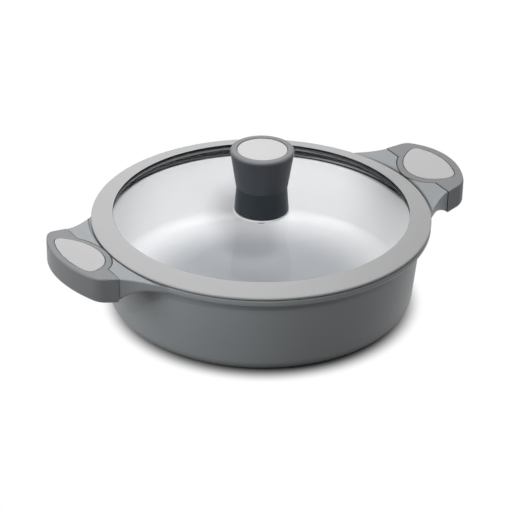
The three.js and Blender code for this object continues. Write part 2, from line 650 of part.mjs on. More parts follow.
const lid = new THREE.Group();
addMesh(lid, 'lid_glass', lidGlass(), CLEAR_GLASS);
addMesh(lid, 'lid_rim', lidRim(), RIM_GREY);
addMesh(lid, 'knob_foot_ring', knobFootRing(), PAD_GREY);
addMesh(lid, 'knob_base', knobBase(), KNOB_DARK);
addMesh(lid, 'knob_grip', knobGrip(), KNOB_GREY);
addMesh(lid, 'knob_cap', knobCap(), PAD_GREY);
addMesh(lid, 'knob_nut', knobNut(), NUT_BRASS);
const gasketTop = GASKET_Z + GASKET_THICKNESS;
addMesh(lid, 'knob_gasket', ring(SHANK_HOLE, GASKET_RADIUS, GASKET_Z, gasketTop, KNOB_FACETS), RIM_GREY);
const washerTop = WASHER_Z + WASHER_THICKNESS;
addMesh(lid, 'knob_washer', ring(SHANK_HOLE, WASHER_RADIUS, WASHER_Z, washerTop, KNOB_FACETS), BASE_STEEL);
const knobFastener = addMesh(lid, 'knob_screw', knobScrew(), SCREW_STEEL);
knobFastener.position.z = KNOB_SCREW_SEAT_Z;

const casserole = new THREE.Group();
casserole.add(pot, lid);

export default casserole;
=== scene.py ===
"""Shallow cast pot with a glass lid: fine surfaces, finishes, studio light and camera.

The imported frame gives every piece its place. Each class here holds one sub-assembly: it builds the
fine surfaces in millimetres, in the frame's own axes, and dresses them. Meshes come out in metres.
"""

import logging
import math
from dataclasses import dataclass
from enum import Enum
from typing import Any, Callable, Optional, Sequence

import bmesh
import bpy
from mathutils import Matrix, Vector

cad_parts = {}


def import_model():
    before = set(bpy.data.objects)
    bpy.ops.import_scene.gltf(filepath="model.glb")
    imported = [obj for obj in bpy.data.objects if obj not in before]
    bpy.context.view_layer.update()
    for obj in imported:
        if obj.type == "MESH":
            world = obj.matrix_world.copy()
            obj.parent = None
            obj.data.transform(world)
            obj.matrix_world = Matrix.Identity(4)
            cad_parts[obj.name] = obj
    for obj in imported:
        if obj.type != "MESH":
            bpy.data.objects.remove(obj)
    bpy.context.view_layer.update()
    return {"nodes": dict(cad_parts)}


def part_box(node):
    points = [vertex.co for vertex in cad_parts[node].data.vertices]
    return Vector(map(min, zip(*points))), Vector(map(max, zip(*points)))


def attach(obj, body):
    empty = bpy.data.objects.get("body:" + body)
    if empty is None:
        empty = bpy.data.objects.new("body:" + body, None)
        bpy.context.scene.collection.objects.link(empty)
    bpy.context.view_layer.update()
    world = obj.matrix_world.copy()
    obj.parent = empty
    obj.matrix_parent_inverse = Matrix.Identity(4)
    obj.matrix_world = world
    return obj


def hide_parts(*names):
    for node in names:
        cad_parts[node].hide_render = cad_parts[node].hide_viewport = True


LOG = logging.getLogger("shallow_pot")
MM = 0.001
PHOTO_WIDTH = 510
TINY = 1e-6
FILLET_STEP = math.radians(11.0)
FILLET_SHARE = 0.499
EDGE_STEPS = 8
CLEARANCE = 2.0
RING_SEGMENTS = 192
KNOB_SEGMENTS = 128
SCREW_SEGMENTS = 48
HEXAGON = 6
SMOOTH_ANGLE = math.radians(32.0)

Point2 = tuple[float, float]
Point3 = tuple[float, float, float]
Corner = Point3
Color = Point3
Height = Callable[[float], float]
Object = bpy.types.Object
Node = bpy.types.Node
Socket = bpy.types.NodeSocket
Tree = bpy.types.NodeTree


class Body(Enum):
    """Bodies of the frame that pieces ride on."""

    POT = "pot"
    LID = "lid"


class Side(Enum):
    """The two grips, by the turn about Z that carries the right-hand one to its place."""

    RIGHT = 0.0
    LEFT = math.pi

    @property
    def label(self) -> str:
        """Word for this side in the names of nodes and pieces."""
        return self.name.lower()


class Joining(Enum):
    """Ways in which one closed mesh acts on another."""

    ADD = "UNION"
    CUT = "DIFFERENCE"


# Lines and outlines, in millimetres


def arc(centre: Point2, radius: float, start: float, end: float, steps: int) -> list[Point2]:
    """Points along a round stretch.

    Args:
        centre: middle of the circle.
        radius: radius of the circle.
        start: angle of the first point.
        end: angle of the last point.
        steps: number of equal steps between them.

    Returns:
        The points, both ends included.
    """
    turns = [start + (end - start) * i / steps for i in range(steps + 1)]
    return [(centre[0] + radius * math.cos(a), centre[1] + radius * math.sin(a)) for a in turns]


def bend(start: Point2, control: Point2, end: Point2, steps: int) -> list[Point2]:
    """Points along a quadratic curve.

    Args:
        start: first point.
        control: point that the curve leans towards.
        end: last point.
        steps: number of steps between the ends.

    Returns:
        The points, both ends included.
    """
    points = []
    for i in range(steps + 1):
        t = i / steps
        near, lean, far = (1 - t) ** 2, 2 * t * (1 - t), t * t
        points.append(tuple(near * a + lean * b + far * c for a, b, c in zip(start, control, end)))
    return points


def fillet(corners: Sequence[Corner], closed: bool = False) -> list[Point2]:
    """Rounds the corners of a line.

    Args:
        corners: points as across, up and the radius of the round there.
        closed: whether the last point joins the first.

    Returns:
        The points of the rounded line.
    """
    line: list[Point2] = []
    count = len(corners)
    for i, (across, up, radius) in enumerate(corners):
        here = Vector((across, up))
        at_end = not closed and i in (0, count - 1)
        if at_end or radius <= 0:
            line.append((across, up))
            continue
        before = Vector(corners[i - 1][:2]) - here
        after = Vector(corners[(i + 1) % count][:2]) - here
        opening = before.angle(after)
        reach = radius / math.tan(opening / 2)
        reach = min(reach, before.length * FILLET_SHARE, after.length * FILLET_SHARE)
        radius = reach * math.tan(opening / 2)
        inward = (before.normalized() + after.normalized()).normalized()
        middle = here + inward * (radius / math.sin(opening / 2))
        first = here + before.normalized() * reach - middle
        last = here + after.normalized() * reach - middle
        swing = first.angle_signed(last)
        steps = max(2, math.ceil(abs(swing) / FILLET_STEP))
        start = math.atan2(first.y, first.x)
        line += arc((middle.x, middle.y), radius, start, start - swing, steps)
    return line


def inset(outline: Sequence[Point2], distance: float, ease: Sequence[float]) -> list[Point2]:
    """Moves an anticlockwise outline inward.

    Args:
        outline: points of the outline.
        distance: how far inward.
        ease: share of the distance that each point takes.

    Returns:
        The moved points, as many as went in.
    """
    moved = []
    count = len(outline)
    for i in range(count):
        here = Vector(outline[i])
        before = (here - Vector(outline[i - 1])).normalized()
        after = (Vector(outline[(i + 1) % count]) - here).normalized()
        normals = Vector((-before.y, before.x)), Vector((-after.y, after.x))
        miter = (normals[0] + normals[1]) / (1 + normals[0].dot(normals[1]))
        point = here + miter * distance * ease[i]
        moved.append((point.x, point.y))
    return moved


# Meshes


def make_object(name: str, points: Sequence[Point3], faces: Sequence[Sequence[int]]) -> Object:
    """Makes a mesh object whose faces point outward.

    Args:
        name: name of the object.
        points: corners in millimetres.
        faces: corner numbers of each face.

    Returns:
        The object, in metres.
    """
    mesh = bpy.data.meshes.new(name)
    mesh.from_pydata([tuple(c * MM for c in p) for p in points], [], faces)
    work = bmesh.new()
    work.from_mesh(mesh)
    bmesh.ops.recalc_face_normals(work, faces=work.faces)
    work.to_mesh(mesh)
    work.free()
    made = bpy.data.objects.new(name, mesh)
    bpy.context.scene.collection.objects.link(made)
    return made


def skin(name: str, rings: Sequence[Sequence[Point3]], capped: bool, looped: bool) -> Object:
    """Joins rings of equally many points into a closed mesh.

    Args:
        name: name of the object.
        rings: the rings in order; a ring of one point is a pole.
        capped: whether the first and last rings are closed by a face.
        looped: whether the last ring joins the first.

    Returns:
        The object.
    """
    points: list[Point3] = []
    starts = []
    for ring in rings:
        starts.append(len(points))
        points += ring
    faces: list[Sequence[int]] = []
    pairs = list(zip(range(len(rings) - 1), range(1, len(rings))))
    if looped:
        pairs.append((len(rings) - 1, 0))
    for a, b in pairs:
        count = max(len(rings[a]), len(rings[b]))
        for i in range(count):
            j = (i + 1) % count
            low = [starts[a] + k for k in ((i, j) if len(rings[a]) > 1 else (0,))]
            high = [starts[b] + k for k in ((j, i) if len(rings[b]) > 1 else (0,))]
            faces.append(low + high)
    if capped:
        faces.append(range(starts[0], starts[0] + len(rings[0])))
        faces.append(range(starts[-1], starts[-1] + len(rings[-1])))
    return make_object(name, points, faces)


def lathe(name: str, profile: Sequence[Point2], segments: int, closed: bool = False) -> Object:
    """Turns a profile about the Z axis.

    Args:
        name: name of the object.
        profile: points as radius and height, from axis to axis or as a closed loop.
        segments: steps round the axis.
        closed: whether the profile is a loop that stays off the axis.

    Returns:
        The object.
    """
    turns = [2 * math.pi * i / segments for i in range(segments)]
    rings = []
    for radius, z in profile:
        if radius < TINY:
            rings.append([(0.0, 0.0, z)])
        else:
            rings.append([(radius * math.cos(a), radius * math.sin(a), z) for a in turns])
    return skin(name, rings, capped=False, looped=closed)


def plug(name: str, radius: float, low: float, high: float, segments: int) -> Object:
    """A plain round or many-sided bar about the Z axis, for cutting holes.

    Args:
        name: name of the object.
        radius: radius of the bar.
        low: height of its lower end.
        high: height of its upper end.
        segments: steps round the axis.

    Returns:
        The object.
    """
    return lathe(name, [(0.0, low), (radius, low), (radius, high), (0.0, high)], segments)


def turned(name: str, corners: Sequence[Corner], segments: int, closed: bool = False) -> Object:
    """A finished round piece.

    Args:
        name: name of the object.
        corners: its profile as radius, height and the radius of the round there.
        segments: steps round the axis.
        closed: whether the profile is a loop that stays off the axis.

    Returns:
        The object, shaded smooth.
    """
    piece = lathe(name, fillet(corners, closed), segments, closed)
    soften(piece)
    return piece


def flat_ring(name: str, node: str, hole: float, edges: Point2, segments: int) -> Object:
    """A finished flat ring in the place of a node.

    Args:
        name: name of the object.
        node: node of the frame.
        hole: radius of its hole.
        edges: radius of the edges of the hole and of the outside.
        segments: steps round the axis.

    Returns:
        The ring.
    """
    low, high = node_box(node)
    lower = [(hole, low.z, edges[0]), (high.x, low.z, edges[1])]
    upper = [(high.x, high.z, edges[1]), (hole, high.z, edges[0])]
    return turned(name, lower + upper, segments, closed=True)


def prism(
    name: str,
    outline: Sequence[Point2],
    heights: tuple[Height, Height],
    rounds: Point2 = (0.0, 0.0),
    eases: Optional[tuple[Sequence[float], Sequence[float]]] = None,
) -> Object:
    """Raises an outline between two sloping faces and rounds its edges.

    Args:
        name: name of the object.
        outline: anticlockwise points.
        heights: height of the upper face and of the lower one, each from the first coordinate.
        rounds: radius of the upper edge and of the lower one.
        eases: share of each rounding at each point, all of it where left out.

    Returns:
        The object.
    """
    whole = [1.0] * len(outline)
    rings = []
    for face, (height, radius, ease) in enumerate(zip(heights, rounds, eases or (whole, whole))):
        sign = -1 if face == 0 else 1
        turns = [math.pi / 2 * i / EDGE_STEPS for i in range(EDGE_STEPS + 1)] if radius else [0.0]
        for a in turns if face == 0 else turns[::-1]:
            line = inset(outline, radius * (1 - math.sin(a)), ease)
            drop = radius * (1 - math.cos(a))
            rings.append([(u, v, height(u) + sign * drop * e) for (u, v), e in zip(line, ease)])
    return skin(name, rings, capped=True, looped=False)


def combine(target: Object, tool: Object, how: Joining) -> None:
    """Adds one closed mesh to another, or cuts it away, and deletes the tool.

    Args:
        target: object that is changed.
        tool: object that acts on it.
        how: whether it is added or cut away.
    """
    change = target.modifiers.new(how.name, "BOOLEAN")
    change.operation = how.value
    change.solver = "EXACT"
    change.object = tool
    settle(target)
    bpy.data.objects.remove(tool)


def settle(target: Object) -> None:
    """Puts the result of an object's modifiers into its mesh.

    Args:
        target: the object.
    """
    graph = bpy.context.evaluated_depsgraph_get()
    mesh = bpy.data.meshes.new_from_object(target.evaluated_get(graph))
    target.modifiers.clear()
    target.data = mesh
    mesh.name = target.name


def soften(target: Object) -> None:
    """Shades an object smooth except at its sharp edges, with flat faces kept flat.

    Args:
        target: the object.
    """
    mesh = target.data
    mesh.polygons.foreach_set("use_smooth", [True] * len(mesh.polygons))
    mesh.set_sharp_from_angle(angle=SMOOTH_ANGLE)
    weighted = target.modifiers.new("even_shading", "WEIGHTED_NORMAL")
    weighted.keep_sharp = True
    settle(target)


def turn(target: Object, side: Side) -> None:
    """Carries a piece made on the right-hand side to its own side."""
    target.data.transform(Matrix.Rotation(side.value, 4, "Z"))


def node_box(node: str) -> tuple[Vector, Vector]:
    """Lowest and highest corner of a node of the frame, in millimetres."""
    low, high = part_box(node)
    return low / MM, high / MM


# Shader nodes


class Sheet:
    """A node tree that is filled by short calls."""

    def __init__(self, tree: Tree) -> None:
        """Takes a tree and empties it."""
        self.tree = tree
        self.tree.nodes.clear()

    def add(self, kind: str, values: Optional[dict[Any, Any]] = None, **settings: Any) -> Node:
        """Adds a node.

        Args:
            kind: type name of the node, without its ShaderNode prefix.
            values: input sockets by name or number, each with a value or a socket to link from.
            settings: properties of the node itself.

        Returns:
            The node.
        """
        node = self.tree.nodes.new("ShaderNode" + kind)
        for key, value in settings.items():
            setattr(node, key, value)
        for key, value in (values or {}).items():
            self.feed(value, node.inputs[key])
        return node

    def feed(self, value: Any, target: Socket) -> None:
        """Links a socket to an input, or sets the input to a plain value.

        Args:
            value: the socket or the value.
            target: the input.
        """
        if isinstance(value, Socket):
            self.tree.links.new(value, target)
        else:
            target.default_value = value

    def place(self) -> Socket:
        """Place on the object, in metres."""
        return self.add("TexCoord").outputs["Object"]

    def math(self, operation: str, first: Any, second: Any) -> Socket:
        """Result of an operation on two values."""
        return self.add("Math", {0: first, 1: second}, operation=operation).outputs[0]

    def length(self, vector: Any) -> Socket:
        """Length of a vector."""
        return self.add("VectorMath", {0: vector}, operation="LENGTH").outputs["Value"]

    def fade(self, value: Any, low: float, high: float) -> Socket:
        """A smooth step from nought at the low end of a range to one at the high end."""
        values = {"Value": value, "From Min": low, "From Max": high}
        return self.add("MapRange", values, interpolation_type="SMOOTHSTEP").outputs["Result"]

    def spread(self, value: Any, low: Any, high: Any, to_low: Any, to_high: Any) -> Socket:
        """A value mapped from one range to another and held inside it."""
        values = {"Value": value, "From Min": low, "From Max": high, "To Min": to_low, "To Max": to_high}
        return self.add("MapRange", values, clamp=True).outputs["Result"]

    def scaled(self, color: Any, factor: Any) -> Socket:
        """A colour times a factor."""
        return self.add("VectorMath", {0: color, "Scale": factor}, operation="SCALE").outputs["Vector"]

    def tint(self, mask: Any, first: Any, second: Any) -> Socket:
        """A colour that goes from the first to the second with a mask."""
        return self.add("Mix", {"Factor": mask, 6: first, 7: second}, data_type="RGBA").outputs[2]

    def blend(self, mask: Any, first: Socket, second: Socket) -> Socket:
        """A shader that goes from the first to the second with a mask."""
        return self.add("MixShader", {0: mask, 1: first, 2: second}).outputs["Shader"]


class Effects:
    """Surface effects that several finishes share, each built once as a node group."""

    colors = ("Base", "Fleck", "Color")
    surface = ("Color", "Roughness", "Height")
    noise_span = (0.3, 0.7)
    fine_share = 0.6
    slow_share = 0.4
    gloss_span = (0.9, 1.1)
    line_gloss_span = (0.8, 1.25)
    fleck_core = 0.6

    @classmethod
    def _start(cls, name: str, inputs: Sequence[str], outputs: Sequence[str]) -> tuple[Sheet, Any]:
        """Starts a node group.

        Args:
            name: name of the group.
            inputs: names of its inputs.
            outputs: names of its outputs.

        Returns:
            The group's sheet, and its inputs as sockets to link from.
        """
        tree = bpy.data.node_groups.new(name, "ShaderNodeTree")
        for direction, keys in (("INPUT", inputs), ("OUTPUT", outputs)):
            for key in keys:
                kind = "NodeSocketColor" if key in cls.colors else "NodeSocketFloat"
                tree.interface.new_socket(key, in_out=direction, socket_type=kind)
        return Sheet(tree), tree.nodes.new("NodeGroupInput").outputs

    @staticmethod
    def _end(sheet: Sheet, results: dict[str, Socket]) -> Tree:
        """Links the outputs of a node group.

        Args:
            sheet: the group's sheet.
            results: a socket for each output.

        Returns:
            The group's tree.
        """
        ending = sheet.tree.nodes.new("NodeGroupOutput").inputs
        for key, socket in results.items():
            sheet.feed(socket, ending[key])
        return sheet.tree

    @classmethod
    def grain(cls) -> Tree:
        """Fine moulded or sprayed grain over a slow change of tone.

        Returns:
            A group that gives a colour, a roughness and a height.
        """
        name = "fine_grain"
        if name in bpy.data.node_groups:
            return bpy.data.node_groups[name]
        inputs = ("Base", "Gloss", "Grain Scale", "Tone Scale", "Contrast")
        sheet, given = cls._start(name, inputs, cls.surface)
        place = sheet.place()
        fine_values = {"Vector": place, "Scale": given["Grain Scale"], "Detail": 3.0, "Roughness": 0.6}
        fine = sheet.add("TexNoise", fine_values).outputs["Fac"]
        slow_values = {"Vector": place, "Scale": given["Tone Scale"], "Detail": 2.0}
        slow = sheet.add("TexNoise", slow_values).outputs["Fac"]
        fine_part = sheet.math("MULTIPLY", fine, cls.fine_share)
        mixed = sheet.math("ADD", fine_part, sheet.math("MULTIPLY", slow, cls.slow_share))
        lower = sheet.math("SUBTRACT", 1.0, given["Contrast"])
        upper = sheet.math("ADD", 1.0, given["Contrast"])
        tone = sheet.spread(mixed, *cls.noise_span, lower, upper)
        color = sheet.scaled(given["Base"], tone)
        sheen = sheet.spread(slow, *cls.noise_span, *cls.gloss_span)
        gloss = sheet.math("MULTIPLY", given["Gloss"], sheen)
        return cls._end(sheet, {"Color": color, "Roughness": gloss, "Height": fine})

    @classmethod
    def flecks(cls) -> Tree:
        """Small scattered flecks of a sprayed coating.

        Returns:
            A group that gives a colour.
        """
        name = "coating_flecks"
        if name in bpy.data.node_groups:
            return bpy.data.node_groups[name]
        sheet, given = cls._start(name, ("Base", "Fleck", "Scale", "Size"), ("Color",))
        cells = sheet.add("TexVoronoi", {"Vector": sheet.place(), "Scale": given["Scale"]})
        edge = sheet.math("MULTIPLY", given["Size"], cls.fleck_core)
        mask = sheet.spread(cells.outputs["Distance"], edge, given["Size"], 1.0, 0.0)
        return cls._end(sheet, {"Color": sheet.tint(mask, given["Base"], given["Fleck"])})

    @classmethod
    def turned_lines(cls) -> Tree:
        """Fine lathe lines round the object's axis.

        Returns:
            A group that gives a colour, a roughness and a height.
        """
        name = "turned_lines"
        if name in bpy.data.node_groups:
            return bpy.data.node_groups[name]
        sheet, given = cls._start(name, ("Base", "Gloss", "Lines", "Contrast"), cls.surface)
        split = sheet.add("SeparateXYZ", {"Vector": sheet.place()}).outputs
        squares = [sheet.math("MULTIPLY", split[axis], split[axis]) for axis in ("X", "Y")]
        radius = sheet.math("SQRT", sheet.math("ADD", squares[0], squares[1]), 0.0)
        along = sheet.add("CombineXYZ", {"X": radius, "Z": split["Z"]}).outputs["Vector"]
        values = {"Vector": along, "Scale": given["Lines"], "Detail": 4.0, "Roughness": 0.7}
        lines = sheet.add("TexNoise", values).outputs["Fac"]
        lower = sheet.math("SUBTRACT", 1.0, given["Contrast"])
        color = sheet.scaled(given["Base"], sheet.spread(lines, *cls.noise_span, lower, 1.0))
        sheen = sheet.spread(lines, *cls.noise_span, *cls.line_gloss_span)
        gloss = sheet.math("MULTIPLY", given["Gloss"], sheen)
        return cls._end(sheet, {"Color": color, "Roughness": gloss, "Height": lines})


# Finishes


@dataclass(frozen=True)
class Finish:
    """A finish with a procedural surface, made into a material on first use."""

    name: str
    color: Color
    roughness: float
    bump: float = 0.1
    bump_depth: float = 0.0001
    specular: float = 0.5

    @property
    def rgba(self) -> tuple[float, float, float, float]:
        """Base colour with full cover."""
        return (*self.color, 1.0)

    def material(self) -> bpy.types.Material:
        """The finish's material, built where it doesn't exist yet.

        Returns:
            The material.
        """
        found = bpy.data.materials.get(self.name)
        if found:
            return found
        made = bpy.data.materials.new(self.name)
        made.use_nodes = True
        sheet = Sheet(made.node_tree)
        values = {"Roughness": self.roughness, "Specular IOR Level": self.specular}
        shader = sheet.add("BsdfPrincipled", values)
        sheet.add("OutputMaterial", {"Surface": self.wire(sheet, shader)})
        return made

    def wire(self, sheet: Sheet, shader: Node) -> Socket:
        """Fills the material's tree.

        Args:
            sheet: the tree.
            shader: its main shader.

        Returns:
            The socket that the surface takes.
        """
        raise NotImplementedError

    def emboss(self, sheet: Sheet, shader: Node, height: Socket) -> None:
        """Raises the surface by a height that changes over it."""
        values = {"Strength": self.bump, "Distance": self.bump_depth, "Height": height}
        sheet.feed(sheet.add("Bump", values).outputs["Normal"], shader.inputs["Normal"])

    def cover(self, sheet: Sheet, shader: Node, effect: Tree, values: dict[str, Any]) -> Socket:
        """Puts an effect's colour, roughness and height on the shader.

        Args:
            sheet: the tree.
            shader: its main shader.
            effect: node group of the effect.
            values: the group's inputs by name, apart from its gloss.

        Returns:
            The shader's socket.
        """
        surface = sheet.add("Group", {"Gloss": self.roughness, **values}, node_tree=effect).outputs
        sheet.feed(surface["Color"], shader.inputs["Base Color"])
        sheet.feed(surface["Roughness"], shader.inputs["Roughness"])
        self.emboss(sheet, shader, surface["Height"])
        return shader.outputs["BSDF"]


@dataclass(frozen=True)
class GrainFinish(Finish):
    """Fine grain over a base colour that each kind of finish sets."""

    grain_scale: float = 2200.0
    tone_scale: float = 22.0
    contrast: float = 0.05

    def base(self, sheet: Sheet) -> Any:
        """Colour under the grain, plain or as a socket."""
        raise NotImplementedError

    def wire(self, sheet: Sheet, shader: Node) -> Socket:
        """Grain in colour, roughness and height.

        Args:
            sheet: the tree.
            shader: its main shader.

        Returns:
            The socket that the surface takes.
        """
        values = {
            "Base": self.base(sheet),
            "Grain Scale": self.grain_scale,
            "Tone Scale": self.tone_scale,
            "Contrast": self.contrast,
        }
        return self.cover(sheet, shader, Effects.grain(), values)


@dataclass(frozen=True)
class MouldedFinish(GrainFinish):
    """Moulded plastic or silicone, painted darker below a level where one is given, as painted shade."""

    painted_shade_color: Optional[Color] = None
    painted_shade_level: float = 0.0
    painted_shade_fade: float = 0.0006

    def base(self, sheet: Sheet) -> Any:
        """The plain colour, or the change to the darker painted shade.

        Args:
            sheet: the material's tree.

        Returns:
            The colour under the grain.
        """
        if not self.painted_shade_color:
            return self.rgba
        z = sheet.add("SeparateXYZ", {"Vector": sheet.place()}).outputs["Z"]
        low, high = self.painted_shade_level - self.painted_shade_fade, self.painted_shade_level + self.painted_shade_fade
        return sheet.tint(sheet.spread(z, low, high, 0.0, 1.0), (*self.painted_shade_color, 1.0), self.rgba)


@dataclass(frozen=True)
class CoatedFinish(GrainFinish):
    """Sprayed coating on a casting: flecks and, where given, a lighter tone away from the middle of the
    base that is painted light.
    """

    grain_scale: float = 1500.0
    tone_scale: float = 14.0
    contrast: float = 0.06
    fleck_color: Color = (0.5, 0.5, 0.5)
    fleck_scale: float = 520.0
    fleck_size: float = 0.22
    painted_light_color: Optional[Color] = None
    painted_light_from: float = 0.0
    painted_light_to: float = 1.0

    def base(self, sheet: Sheet) -> Any:
        """Flecks, then the painted light.

        Args:
            sheet: the material's tree.

        Returns:
            The colour under the grain.
        """
        values = {
            "Base": self.rgba,
            "Fleck": (*self.fleck_color, 1.0),
            "Scale": self.fleck_scale,
            "Size": self.fleck_size,
        }
        near = sheet.add("Group", values, node_tree=Effects.flecks()).outputs["Color"]
        if not self.painted_light_color:
            return near
        mask = sheet.fade(sheet.length(sheet.place()), self.painted_light_from, self.painted_light_to)
        return sheet.tint(mask, near, (*self.painted_light_color, 1.0))


@dataclass(frozen=True)
class TurnedFinish(Finish):
    """Bare metal with lathe lines."""

    lines: float = 900.0
    contrast: float = 0.25

    def wire(self, sheet: Sheet, shader: Node) -> Socket:
        """Lines in colour, roughness and height.

        Args:
            sheet: the tree.
            shader: its main shader.

        Returns:
            The socket that the surface takes.
        """
        shader.inputs["Metallic"].default_value = 1.0
        values = {"Base": self.rgba, "Lines": self.lines, "Contrast": self.contrast}
        return self.cover(sheet, shader, Effects.turned_lines(), values)


@dataclass(frozen=True)
class GlassFinish(Finish):
    """Clear tempered glass that lets the lamps through to what it covers."""

    ior: float = 1.06
    shade: Color = (0.95, 0.96, 0.97)
    wave_scale: float = 5.0

    def wire(self, sheet: Sheet, shader: Node) -> Socket:
        """Glass for sight, a faint tint for light, and a slight wave in the surface.

        Args:
            sheet: the tree.
            shader: its main shader.

        Returns:
            The socket that the surface takes.
        """
        shader.inputs["Base Color"].default_value = self.rgba
        shader.inputs["IOR"].default_value = self.ior
        shader.inputs["Transmission Weight"].default_value = 1.0
        wave = sheet.add("TexNoise", {"Vector": sheet.place(), "Scale": self.wave_scale, "Detail": 1.0})
        self.emboss(sheet, shader, wave.outputs["Fac"])
        rays = sheet.add("LightPath").outputs
        light = sheet.math("MAXIMUM", rays["Is Shadow Ray"], rays["Is Diffuse Ray"])
        clear = sheet.add("BsdfTransparent", {"Color": (*self.shade, 1.0)})
        return sheet.blend(light, shader.outputs["BSDF"], clear.outputs["BSDF"])


# Black that stands for shade: painted on the rim's underside and on its faces towards the axis.
BLACK_PAINTED_SHADE = (0.008, 0.009, 0.01)
POT_COAT = CoatedFinish(
    "pot_coat", (0.207, 0.221, 0.23), 0.36, bump=0.12, specular=0.3, fleck_color=(0.232, 0.246, 0.255)
)
# Painted light and shade: dark grey in the middle of the floor, going to near white from 70 mm to 150 mm
# out from the middle of the base, so the wall looks lit and the floor shaded.
POT_LINING = CoatedFinish(
    "pot_lining",
    (0.33, 0.335, 0.35),
    0.4,
    bump=0.004,
    contrast=0.008,
    fleck_color=(0.36, 0.365, 0.38),
    fleck_size=0.06,
    painted_light_color=(0.875, 0.865, 0.86),
    painted_light_from=0.07,
    painted_light_to=0.15,
)
# Painted shade: near-black on the lid's seat in the pot's mouth, standing in for the shadow under the lid's
# rim.
POT_SEAT_SHADE = CoatedFinish(
    "pot_seat", (0.007, 0.007, 0.008), 0.6, fleck_color=(0.01, 0.01, 0.011), specular=0.1
)
GRIP_PLASTIC = MouldedFinish("grip_plastic", (0.124, 0.13, 0.135), 0.46, contrast=0.06)
PAD_RUBBER = MouldedFinish("pad_rubber", (0.4, 0.393, 0.396), 0.6, grain_scale=2600.0, contrast=0.04)
# Painted shade: below 77.3 mm the rim (skirt, lower lip and lower part of its outer edge) turns black,
# standing in for the shadow under the rim.
RIM_SILICONE = MouldedFinish(
    "soft_rim",
    (0.325, 0.325, 0.33),
    0.5,
    painted_shade_color=BLACK_PAINTED_SHADE,
    painted_shade_level=0.0773,
    specular=0.3,
    contrast=0.03,
)
# Painted shade: black for the rim's faces towards the axis, standing in for the shadow on them.
RIM_SHADE = MouldedFinish("soft_rim_inside", BLACK_PAINTED_SHADE, 0.6, specular=0.1)
RING_SILICONE = MouldedFinish("soft_ring", (0.62, 0.63, 0.65), 0.4, contrast=0.03)
KNOB_DARK = MouldedFinish("knob_collar_plastic", (0.014, 0.019, 0.025), 0.38, contrast=0.08, specular=0.3)
# Painted light and shade: the flare's side is painted dark below 138.8 mm, so its rounded top rim reads
# lighter, as if lit from above.
KNOB_GREY = MouldedFinish(
    "knob_flare_plastic",
    (0.12, 0.123, 0.13),
    0.45,
    contrast=0.06,
    painted_shade_color=(0.04, 0.044, 0.051),
    painted_shade_level=0.1388,
    painted_shade_fade=0.0016,
    specular=0.3,
)
LID_GLASS = GlassFinish("clear_glass", (0.945, 0.953, 0.955), 0.0, bump=0.004)
DISC_STEEL = TurnedFinish("turned_steel", (0.56, 0.56, 0.57), 0.32)
SCREW_STEEL = TurnedFinish("plated_steel", (0.6, 0.6, 0.61), 0.25, lines=2400.0)
NUT_BRASS = TurnedFinish("turned_brass", (0.6, 0.42, 0.16), 0.3, lines=2400.0)


def fit(piece: Object, body: Body, node: str, finishes: Sequence[Finish]) -> None:
    """Dresses a piece and sets it in the place of a node of the frame.

    Args:
        piece: the fine mesh.
        body: body that it rides on.
        node: node that it stands for.
        finishes: finishes by the mesh's material number.
    """
    for finish in finishes:
        piece.data.materials.append(finish.material())
    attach(piece, body.value)
    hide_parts(node)
    LOG.info("%s stands for %s, %d faces", piece.name, node, len(piece.data.polygons))


# Sub-assemblies


